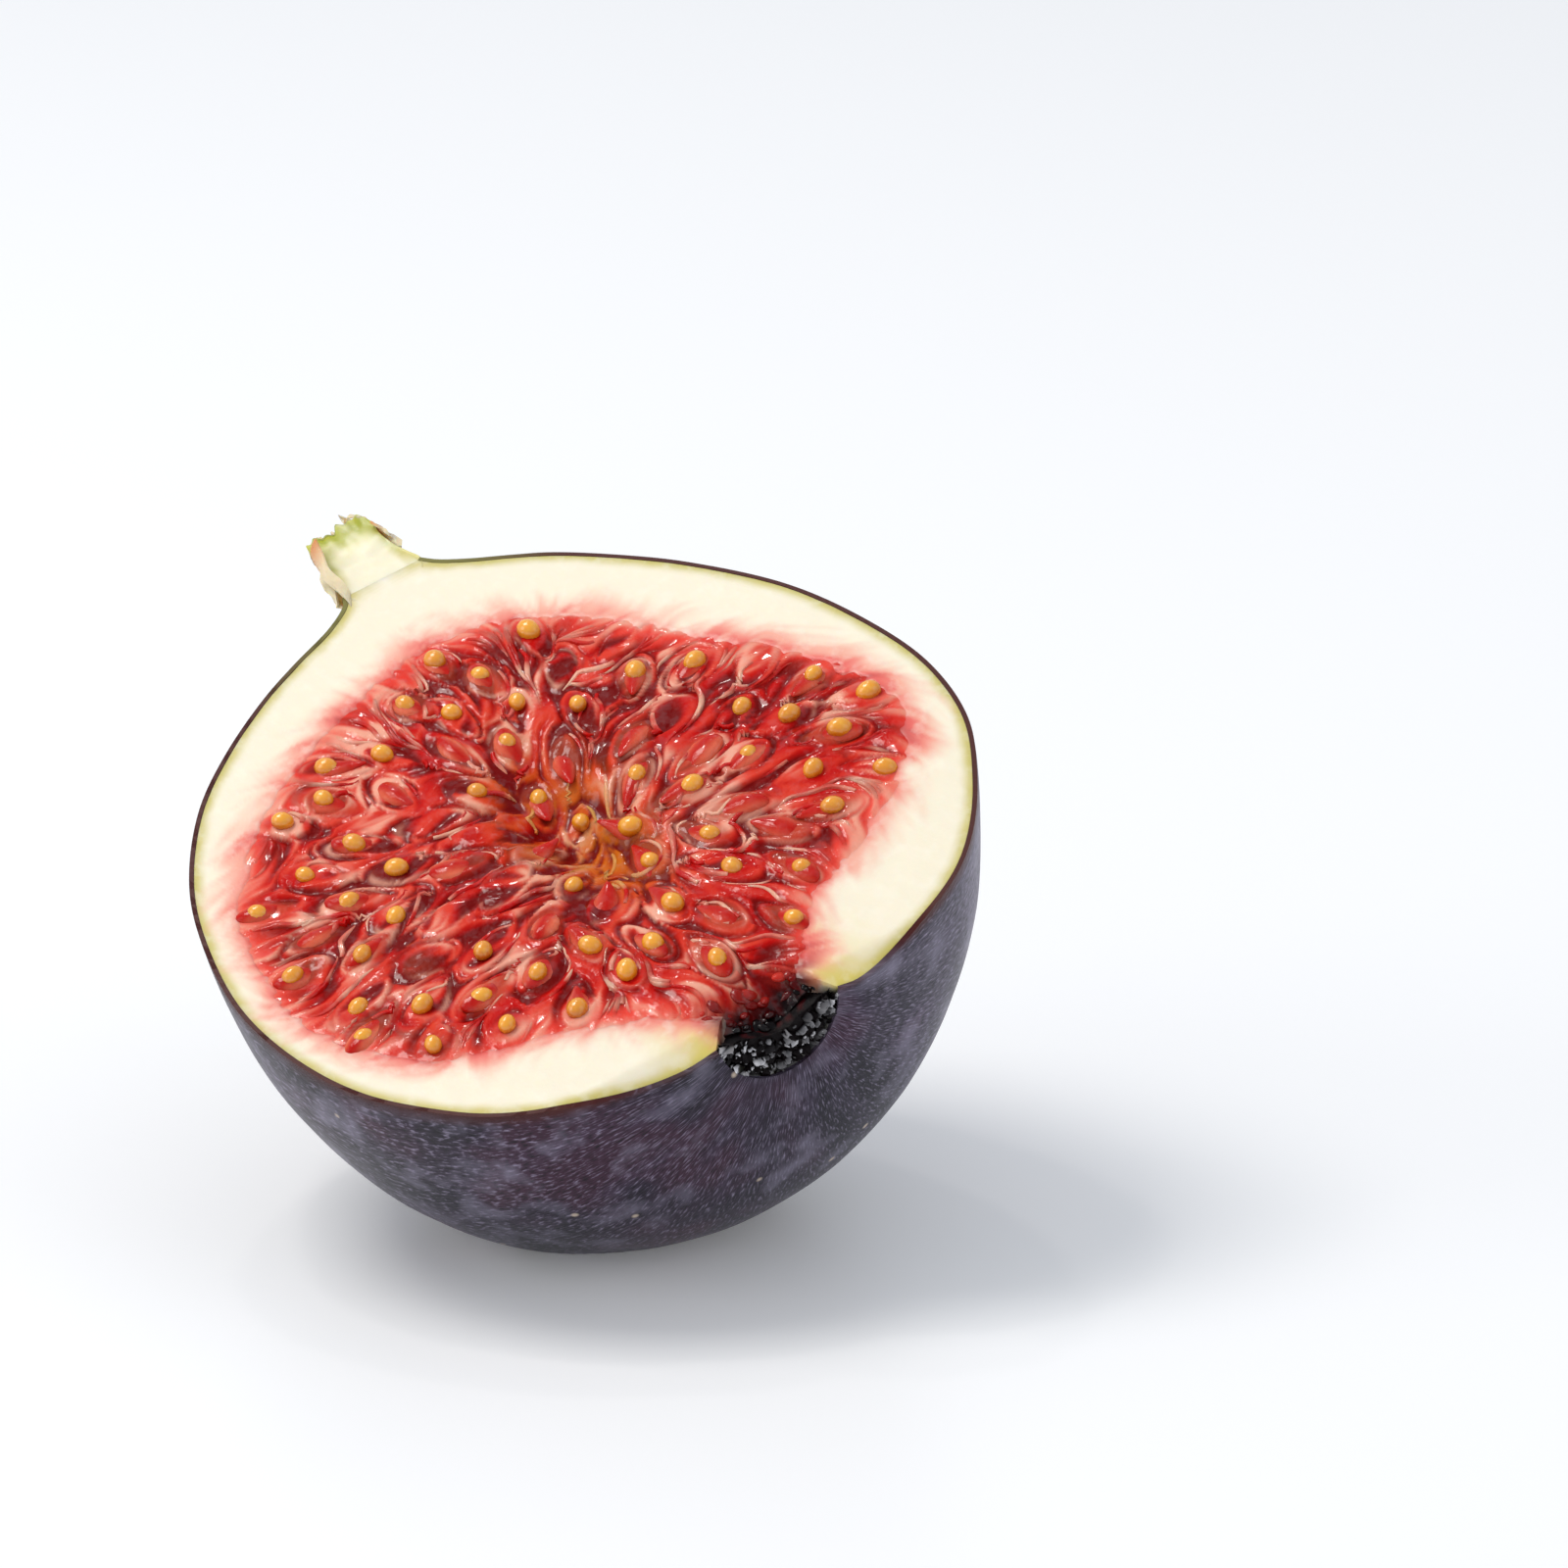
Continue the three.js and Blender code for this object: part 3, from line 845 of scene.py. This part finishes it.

# %% [markdown]
# ## Florets
# Each floret is a small clear sac, drawn out like a drop. Most lie sunk in the pulp, where the map already
# paints them. Those on top are modelled, so they catch the light: a sphere is narrowed towards the tip
# and bent a little, and the copies are turned so that each tip points to the hollow in the middle. Small
# wet lobes of the same shape crowd the way into the eye, painted darker towards it as shade falls there.


# %% Floret sac
def taken_apart(model):
    """The points and the faces of a model that is only made to be copied."""
    faces = [tuple(p.vertices) for p in model.data.polygons]
    points = get_points(model)
    bpy.data.objects.remove(model)
    return points, faces


deselect_all()
bpy.ops.mesh.primitive_uv_sphere_add(segments=16, ring_count=10, radius=1, rotation=(0, math.pi / 2, 0))
bpy.ops.object.transform_apply(rotation=True)
sac_shape, sac_faces = taken_apart(added("sac_model"))
sac_shape[:, 1:] *= (1 - 0.55 * fade(sac_shape[:, 0], -0.3, 1))[:, None]
sac_shape[:, 1] += 0.22 * sac_shape[:, 0] ** 2
print("one sac has", len(sac_faces), "faces")


# %% Copies of one shape
def copies(name, shape, faces, poses, tints):
    """One mesh that holds the shape once for each pose, with the tint of each copy."""
    points = np.vstack([shape @ np.array(turn).T * scale + move for turn, scale, move in poses])
    all_faces = [tuple(i + n * len(shape) for i in face) for n in range(len(poses)) for face in faces]
    mesh = bpy.data.meshes.new(name)
    mesh.from_pydata(points.tolist(), [], all_faces)
    piece = bpy.data.objects.new(name, mesh)
    bpy.context.scene.collection.objects.link(piece)
    paint(piece, np.vstack(tints))
    return piece


def tipped(turn, lean, roll=0.0):
    return Matrix.Rotation(turn, 3, "Z") @ Matrix.Rotation(lean, 3, "Y") @ Matrix.Rotation(roll, 3, "X")


# %% Florets in place
SAC_CLEAR = srgb(236, 120, 88)
SAC_RED = srgb(192, 24, 16)
LOBES = {"count": 44, "from": 48.4, "reach": 2.5, "across": 7.4}

sac_poses, sac_tints = [], []
for floret in florets:
    n = floret["n"]
    if scatter(n, 7) < 0.4:
        continue
    cosine, sine = math.cos(floret["turn"]), math.sin(floret["turn"])
    u, v = floret["u"] + 0.5 * cosine, floret["v"] + 0.5 * sine
    top = at_place(heights, u, v)
    lean, roll = 0.5 * (scatter(n, 8) - 0.5), 0.6 * (scatter(n, 9) - 0.5)
    stretch = Matrix.Diagonal((0.92 * floret["length"], 0.85 * floret["width"], 0.62))
    sac_poses.append((tipped(floret["turn"], lean, roll) @ stretch, 1.0, (u, v, top - 0.3)))
    clear = 0.25 + 0.75 * scatter(n, 15)
    sac_tints.append(mix(SAC_RED, SAC_CLEAR, clear * fade(np.abs(sac_shape[:, 1]), 0.15, 0.75)))
for n in range(LOBES["count"]):
    u = LOBES["from"] + LOBES["reach"] * scatter(n, 21)
    v = EYE["centre"] + LOBES["across"] * (scatter(n, 22) - 0.5)
    top = at_place(heights, u, v)
    size = 0.22 + 0.4 * scatter(n, 23) ** 2
    lobe = tipped(2 * math.pi * scatter(n, 24), 0.4) @ Matrix.Diagonal((1.4, 0.9, 0.6))
    sac_poses.append((lobe, size, (u, v, top - 0.1)))
    # The lobes are painted darker red, then black, nearer the eye: painted shade in the way into it.
    lobe_tint = mix(GARNET, CORAL, 0.6 * scatter(n, 25) * fade(u, 49.8, 48.8))
    lobe_tint = mix(lobe_tint, EYE_SHADE_AND_DARK, fade(u, 49.3, 50.3))
    sac_tints.append(np.tile(lobe_tint, (len(sac_shape), 1)))
sacs = copies("florets", sac_shape, sac_faces, sac_poses, sac_tints)
finish_piece(sacs, "pulp", pulp_finish("fig_floret", 0.25, 0.3))

# %% [markdown]
# ## Seeds
# A fig's seeds are hard, golden and glossy, a little longer than wide. They are the brightest points of the
# fruit, so they are separate shapes that catch the light, each sunk in the outer end of its sac.

# %% Seeds
SEED = {"length": 0.8, "width": 0.66}
SEED_GOLD = srgb(252, 172, 30)
SEED_SHADE_BROWN = srgb(184, 78, 6)
# Pale gold for painted glints on the seeds.
SEED_PAINTED_GLINT = srgb(250, 184, 60)

deselect_all()
bpy.ops.mesh.primitive_uv_sphere_add(segments=12, ring_count=8, radius=1)
seed_shape, seed_faces = taken_apart(added("seed_model"))
seed_shape *= (SEED["length"], SEED["width"], SEED["width"])
seed_shape[:, 1] *= 1 - 0.12 * np.clip(seed_shape[:, 0], 0, 1)

seed_poses, seed_tints = [], []
for floret in florets:
    if not floret["seed"]:
        continue
    n, u, v = floret["n"], floret["u"], floret["v"]
    top = at_place(heights, u, v)
    turn = tipped(floret["turn"] + scatter(n, 10) - 0.5, 0.6 * (scatter(n, 11) - 0.5))
    size = 0.85 + 0.25 * scatter(n, 12)
    seed_poses.append((turn, size, (u, v, top - 0.1 + 0.3 * scatter(n, 13))))
    # Each seed is painted darker brown on its lower side: painted shade under it where it sinks into the
    # pulp.
    tone = fade(seed_shape[:, 2], -0.3, 0.5) * (0.7 + 0.3 * scatter(n, 14))
    seed_tints.append(mix(SEED_SHADE_BROWN, SEED_GOLD, tone))
seeds = copies("seeds", seed_shape, seed_faces, seed_poses, seed_tints)


def seed_finish():
    finish, nodes, links, shader, place = new_finish("fig_seed")
    spots = noise_node(nodes, links, place, 1800, 2.0)
    # Small pale-gold spots laid over the seed are painted glints.
    colour = mottled(nodes, links, tint_node(nodes).outputs["Color"], SEED_PAINTED_GLINT, spots, 0.5, 0.9)
    links.new(colour, shader.inputs["Base Color"])
    set_inputs(shader, {
        "Roughness": 0.22, "Coat Weight": 0.8, "Coat Roughness": 0.08,
        "Subsurface Weight": 0.2, "Subsurface Radius": (1.0, 0.5, 0.1), "Subsurface Scale": 0.0005,
    })
    return finish


finish_piece(seeds, "pulp", seed_finish())

# %% [markdown]
# ## Threads
# Pale threads run in from the wall and lie between the sacs. Each follows the map's directions for a few
# millimetres, which is a curve with a round bevel that grows thin towards its end. A curve is quick to
# route, and is made a mesh once it lies right.

# %% Threads
THREADS = {"edge": 100, "inner": 170, "step": 0.35, "radius": 0.19}
THREAD_GOLD = srgb(216, 150, 60)


def trace(u, v, steps):
    route = []
    for _ in range(steps):
        route.append((u, v, at_place(heights, u, v)))
        if at_place(edge_distance, u, v) < -0.6 or at_place(hollow, u, v) > 0.9:
            break
        run_u, run_v = at_place(flow_u, u, v), at_place(flow_v, u, v)
        u += THREADS["step"] * run_u
        v += THREADS["step"] * run_v
    return route


def thread_routes():
    routes = []
    outline = np.vstack([
        np.column_stack([pulp_rows[:, 0], pulp_rows[:, 1] + pulp_rows[:, 2]]),
        np.column_stack([pulp_rows[:, 0], pulp_rows[:, 1] - pulp_rows[:, 2]])[::-1],
    ])
    for n in range(THREADS["edge"]):
        k = int((n + chance.random()) / THREADS["edge"] * (len(outline) - 1))
        routes.append(trace(*(outline[k] + chance.normal(0, 0.25, 2)), int(chance.integers(9, 26))))
    for n in range(THREADS["inner"]):
        reach = 21 * math.sqrt(chance.random())
        turn = chance.random() * 2 * math.pi
        u, v = HEART["u"] + 0.95 * reach * math.cos(turn), HEART["v"] + reach * math.sin(turn)
        if at_place(edge_distance, u, v) > 0.5:
            routes.append(trace(u, v, int(chance.integers(8, 22))))
    return [route for route in routes if len(route) > 4]


routes = thread_routes()
curve = bpy.data.curves.new("threads", "CURVE")
curve.dimensions = "3D"
curve.bevel_depth = THREADS["radius"]
curve.bevel_resolution = 1
curve.resolution_u = 1
curve.use_fill_caps = True
for route in routes:
    spline = curve.splines.new("POLY")
    spline.points.add(len(route) - 1)
    thick = 0.6 + 0.7 * chance.random()
    for n, (u, v, w) in enumerate(route):
        share = n / (len(route) - 1)
        inside = fade(at_place(edge_distance, u, v), 0, 2.5)
        spline.points[n].co = (u, v, w - 0.3 + 0.24 * inside, 1)
        spline.points[n].radius = thick * (0.2 + 0.8 * math.sin(math.pi * min(share + 0.2, 1.0)) ** 0.7)
threads = bpy.data.objects.new("threads", curve)
bpy.context.scene.collection.objects.link(threads)
choose(threads)
bpy.ops.object.convert(target="MESH")
threads = bpy.context.object
u, v, _ = get_points(threads).T
thread_edge = on_map(edge_distance, u, v)
thread_tone = on_map(clouds(1.3, 12.5), u, v)
thread_tint = mix(CRIMSON, SHELL_PINK, fade(thread_tone, -0.5, 0.9))
thread_tint = mix(on_map(face_tint, u, v), thread_tint, fade(thread_edge, 0.3, 4.0))
thread_heart = on_map(hollow, u, v)
thread_tint = mix(thread_tint, THREAD_GOLD, 0.8 * fade(thread_heart + 0.3 * thread_tone, 0.2, 0.8))
paint(threads, thread_tint)
print(len(routes), "threads")
finish_piece(threads, "pulp", pulp_finish("fig_thread", 0.25, 0.3))

# %% [markdown]
# ## Stem
# The stub of the stem was halved with the fruit, so it shows a green-yellow face. Dry papery scales cling
# to its broken end, and one hangs down beside it. The stub is a filled bowl like the pulp. A scale is a
# small sheet, bent along and across, crinkled by noise and torn at its tip.

# %% Stem stub
STEM_PROFILE = [[-5.7, 1.3, 0.4], [-5.8, 1.4, 1.6], [-4.9, 1.1, 2.3], [-3.2, 1.1, 2.15], [-1.6, 1.2, 2.3],
                [-0.4, 1.3, 2.6], [0.6, 1.35, 2.9], [1.6, 1.4, 2.5]]
STEM_GREEN = srgb(174, 178, 46)
STEM_PITH = srgb(238, 234, 176)
STEM_CORE = srgb(242, 235, 204)
STEM_BARK = srgb(104, 88, 44)
STEM_WINE = srgb(86, 52, 48)
STEM_CENTRE = 1.2

stub = filled_bowl("stem_stub", smooth_profile(STEM_PROFILE, 70), 44, 44, None,
                   lambda u, v: -0.045 - 0.12 * np.sin(1.9 * u + 0.8) * np.cos(1.3 * v) * fade(u, 0, -2))
stub_points = get_points(stub)
fibres = noise_at(stub_points * (0.3, 1.7, 1.7))
broken = noise_at(stub_points * (0, 1.5, 1.5) + (0.5, 0, 0))
off_face = fade(stub_points[:, 2], -0.2, -0.6)
stub_points[:, 0] += 1.1 * broken * fade(stub_points[:, 0], -3.6, -5.4)
side = np.sign(stub_points[:, 1] - STEM_CENTRE)
stub_points[:, 1] -= 0.3 * fibres * off_face * side * fade(stub_points[:, 0], 0.4, -1)
set_points(stub, stub_points)
off_middle = np.abs(stub_points[:, 1] - STEM_CENTRE)
off_middle += 0.25 * fibres - 0.6 * fade(stub_points[:, 0], -1.6, 0.8)
along = stub_points[:, 0] + fibres
stem_face = mix(STEM_PITH, STEM_GREEN, fade(off_middle, 1.1, 2.1))
stem_face = layered(
    mix(STEM_GREEN, stem_face, fade(along, -5.0, -3.0)),
    (LEAF_YELLOW, 0.8 * fade(stub_points[:, 0], -2.5, 0)),
    (STEM_CORE, fade(along, -4.4, -2.0) * fade(off_middle, 2.4, 1.2)),
)
stem_side = mix(STEM_BARK, STEM_GREEN, fade(fibres, -0.4, 0.4))
stem_side = mix(stem_side, STEM_WINE, 0.8 * fade(along + fibres, -2.5, 0.5))
paint(stub, mix(stem_face, stem_side, off_face))
finish_piece(stub, "stem", flesh_finish("fig_stem"))


# %% Dry finish
def dry_finish(name, roughness, glow, shine=0.3):
    finish, nodes, links, shader, place = new_finish(name)
    fibre = noise_node(nodes, links, place, 1500, 4.0)
    links.new(tint_node(nodes).outputs["Color"], shader.inputs["Base Color"])
    set_inputs(shader, {
        "Roughness": roughness, "Specular IOR Level": shine,
        "Subsurface Weight": glow, "Subsurface Radius": (1.0, 0.6, 0.3), "Subsurface Scale": 0.0006,
    })
    bumped(nodes, links, shader, fibre, 0.0002, 0.8)
    return finish


# %% Papery scales
SCALE_FOOT = srgb(206, 128, 64)
SCALE_TIP = srgb(238, 214, 178)
SCALE_AXIS, SCALE_REACH = 1.1, 2.35


def papery_scale(name, length, width, bend, layer):
    deselect_all()
    bpy.ops.mesh.primitive_grid_add(x_subdivisions=18, y_subdivisions=9, size=2)
    leaf = added(name)
    square = get_points(leaf)
    along, across = (square[:, 0] + 1) / 2, square[:, 1]
    torn = np.array([noise.noise((2.6 * y, layer, 0.5)) for y in across])
    crinkle = np.array([noise.noise((3.2 * x, 2.2 * y, layer)) for x, y in zip(along, across)])
    reach = length * along * (1 + 0.55 * torn * along)
    half = 0.5 * width * (0.75 + 0.5 * along - 1.0 * along**2.2)
    out = bend * along**2 - 0.22 * width * across**2 + 0.7 * crinkle * along
    set_points(leaf, np.column_stack([reach, half * across, out]))
    apply_modifier(leaf, "SOLIDIFY", thickness=0.14, offset=0)
    share = get_points(leaf)[:, 0] / length + 0.8 * layer % 0.4
    paint(leaf, mix(SCALE_FOOT, SCALE_TIP, fade(share, 0.2, 0.9)))
    return leaf


def leaning(turn, lean, way=1):
    """The direction away from the axis at a turn, and the pose of a scale that leans out that way."""
    out = Vector((0, math.cos(turn), -math.sin(turn)))
    run = Vector((way, 0, 0))
    x = run * math.cos(lean) + out * math.sin(lean)
    z = out * math.cos(lean) - run * math.sin(lean)
    return out, Matrix((x, z.cross(x), z)).transposed()


def on_stem(at, turn, lean, way):
    """Stands a scale on the stem: way 1 points to the neck and way -1 to the broken end."""
    out, turned = leaning(math.radians(turn), math.radians(lean), way)
    return Matrix.Translation(Vector((at, SCALE_AXIS, 0)) + out * SCALE_REACH) @ turned.to_4x4()


SCALES = [
    {"at": -4.6, "turn": 168, "lean": 12, "way": 1, "length": 5.2, "width": 3.6, "bend": -0.3},
    {"at": -3.4, "turn": 66, "lean": 8, "way": 1, "length": 3.4, "width": 3.2, "bend": 0.3},
    {"at": -5.0, "turn": 112, "lean": 4, "way": 1, "length": 3.2, "width": 2.8, "bend": 0.4},
    {"at": -4.3, "turn": 8, "lean": 5, "way": 1, "length": 2.3, "width": 1.7, "bend": 0.5},
    {"at": -4.7, "turn": 20, "lean": -8, "way": -1, "length": 1.9, "width": 1.6, "bend": -0.4},
    {"at": -4.8, "turn": 145, "lean": -12, "way": -1, "length": 1.6, "width": 1.8, "bend": -0.5},
    {"at": -4.9, "turn": 80, "lean": -18, "way": -1, "length": 1.7, "width": 2.0, "bend": -0.3},
]
leaves = []
for n, scale in enumerate(SCALES):
    leaf = papery_scale(f"scale_{n}", scale["length"], scale["width"], scale["bend"], n + 0.37)
    leaf.data.transform(on_stem(scale["at"], scale["turn"], scale["lean"], scale["way"]))
    leaves.append(leaf)
scales = join(*leaves)
scales.name = "stem_scales"
finish_piece(scales, "stem", dry_finish("fig_scale", 0.55, 0.5))

# %% [markdown]
# ## Eye
# The eye is a small hole at the blossom end, closed by rings of dark scales that dry out and turn white at
# their tips. The half shows half of it. A plug fills the opening, painted black for the shade inside the
# hole, and its upper edge is sunk in the middle. Rings of little scales stand on its end, up to that edge:
# the outer rings lie over onto the skin, the inner ones point straight out.

# %% Eye plug
LIP = {"sides": 0.7, "middle": 1.1, "width": 2.2}
EYE_WINE = srgb(60, 4, 8)
EYE_CRUST = srgb(244, 242, 246)
plug_profile = [
    [EYE["u"] - 1.3, EYE["centre"], EYE["radius"]], [EYE["u"] - 0.5, EYE["centre"], EYE["radius"]],
    [EYE["u"] - 0.1, EYE["centre"], 2.6], [EYE["u"] - 0.05, EYE["centre"], 0.3],
]


def lip(v):
    """The height of the plug's upper edge, which is lowest in the middle."""
    return -LIP["sides"] - LIP["middle"] * np.exp(-(((v - EYE["centre"]) / LIP["width"]) ** 2))


plug = filled_bowl("eye_plug", smooth_profile(plug_profile, 30), 40, 30, None, lambda u, v: lip(v) - 0.45)
plug_points = get_points(plug)
crumble = noise_at(1.8 * plug_points)
plug_points[:, 2] = np.minimum(plug_points[:, 2], lip(plug_points[:, 1]) + 0.3 * crumble)
set_points(plug, plug_points)
# The plug is painted black as the shade inside the eye's hole, with dark red patches near its front.
wine = fade(crumble, 0, 0.4) * fade(plug_points[:, 0], EYE["u"] - 0.4, EYE["u"] - 1.2)
paint(plug, mix(EYE_SHADE_AND_DARK, EYE_WINE, wine))
finish_piece(plug, "eye", dry_finish("fig_eye", 0.5, 0.0, 0.1))

# %% Eye scales
EYE_RINGS = [
    {"radius": 4.6, "count": 54, "lean": 74, "length": 0.36, "crust": 0.8},
    {"radius": 4.0, "count": 64, "lean": 60, "length": 0.45, "crust": 0.9},
    {"radius": 3.4, "count": 60, "lean": 46, "length": 0.5, "crust": 1.0},
    {"radius": 2.7, "count": 46, "lean": 34, "length": 0.5, "crust": 1.0},
    {"radius": 1.9, "count": 26, "lean": 18, "length": 0.45, "crust": 0.6},
]
CLUSTERS = [{"turn": 2.45, "spread": 0.55}, {"turn": 1.15, "spread": 0.28}, {"turn": 0.3, "spread": 0.2}]

deselect_all()
bpy.ops.mesh.primitive_cube_add(size=1, location=(0.5, 0, 0))
flake = added("flake_model")
edit_all(flake)
bpy.ops.mesh.subdivide(number_cuts=2)
bpy.ops.object.mode_set(mode="OBJECT")
flake_shape, flake_faces = taken_apart(flake)
narrow = 1 - 0.8 * flake_shape[:, 0] ** 2
flake_shape = flake_shape * np.column_stack([np.ones(len(narrow)), 0.8 * narrow, 0.2 * narrow])
flake_shape[:, 2] += 0.3 * flake_shape[:, 0] ** 2
noise.seed_set(1)  # noise vectors would change from run to run without it
flake_shape += [0.3 * noise.noise_vector(3 * Vector(p)) for p in flake_shape]

flake_poses, flake_tints = [], []
for k, ring in enumerate(EYE_RINGS):
    for n in range(ring["count"]):
        turn = math.pi * (n + 0.5 * (k % 2) + scatter(n, k + 20)) / (ring["count"] + 0.5)
        lean = math.radians(ring["lean"] + 50 * (scatter(n, k + 30) - 0.5))
        out, turned = leaning(turn, lean)
        turned = turned @ Matrix.Rotation(3.0 * (scatter(n, k + 60) - 0.5), 3, "X")
        turned = turned @ Matrix.Diagonal((1, 0.4 + 1.0 * scatter(n, k + 80), 0.7 + scatter(n, k + 90)))
        size = ring["length"] * (0.4 + 1.4 * scatter(n, k + 40) ** 2)
        radius = ring["radius"] + 0.7 * (scatter(n, k + 70) - 0.5)
        foot = (EYE["u"] + 0.02, EYE["centre"] + radius * out.y, radius * out.z)
        if foot[2] > lip(foot[1]):
            continue
        flake_poses.append((turned, size, foot))
        crowd = sum(math.exp(-(((turn - c["turn"]) / c["spread"]) ** 2)) for c in CLUSTERS)
        white = ring["crust"] * min(1.3 * crowd, 1) * fade(scatter(n, k + 50), 0.3, 0.6)
        # Below their white tips the flakes are black: the scales' own dark, and painted shade in the hole.
        flake_tints.append(mix(EYE_SHADE_AND_DARK, EYE_CRUST, white * fade(flake_shape[:, 0], -0.1, 0.3)))
flakes = copies("eye_scales", flake_shape, flake_faces, flake_poses, flake_tints)
print(len(flake_poses), "eye scales")
finish_piece(flakes, "eye", dry_finish("fig_eye_scale", 0.5, 0.0, 0.1))

# %% [markdown]
# ## Floor and light
# The floor is plain and pale. A large soft lamp high on the left lights the cut face and lets the shadow
# fall to the right. Two small lamps behind the fruit put glints on the wet pulp, two low ones brighten
# the skin, and the pale surroundings fill the rest.

# %% Floor
FLOOR_WHITE = (0.93, 0.935, 0.94, 1)
LAMP_WARM = (1.0, 0.965, 0.92)
AIR_PALE = (0.87, 0.92, 1.0, 1)

deselect_all()
bpy.ops.mesh.primitive_plane_add(size=6, location=(0, 0, 0))
floor = added("floor")
floor_paint = bpy.data.materials.new("pale_floor")
floor_paint.use_nodes = True
set_inputs(floor_paint.node_tree.nodes["Principled BSDF"], {
    "Base Color": FLOOR_WHITE, "Roughness": 0.35,
    "Emission Color": (1, 1, 1, 1), "Emission Strength": 0.11,
})
floor.data.materials.append(floor_paint)

# %% Lights
LIGHTS = {
    "key": {"turn": 96, "rise": 60, "away": 0.7, "size": 0.3, "power": 2.15},
    "spark": {"turn": 160, "rise": 58, "away": 0.7, "size": 0.04, "power": 0.2},
    "glint": {"turn": 120, "rise": 66, "away": 0.7, "size": 0.04, "power": 0.2},
    "left": {"turn": 75, "rise": 22, "away": 0.8, "size": 0.4, "power": 1.0},
    "right": {"turn": -60, "rise": 30, "away": 0.8, "size": 0.5, "power": 0.5},
}
for name, light in LIGHTS.items():
    direction = toward(VIEW["azimuth"] - light["turn"], light["rise"])
    deselect_all()
    bpy.ops.object.light_add(type="AREA", location=AIM + light["away"] * direction)
    lamp = added(name)
    lamp.rotation_euler = direction.to_track_quat("Z", "Y").to_euler()
    lamp.data.size = light["size"]
    lamp.data.energy = light["power"]
    lamp.data.color = LAMP_WARM

world = bpy.data.worlds.new("studio")
world.use_nodes = True
set_inputs(world.node_tree.nodes["Background"], {"Color": AIR_PALE, "Strength": 0.6})
bpy.context.scene.world = world
bpy.context.scene.view_settings.view_transform = "Standard"
print(len(LIGHTS), "lamps and the pale air around them")
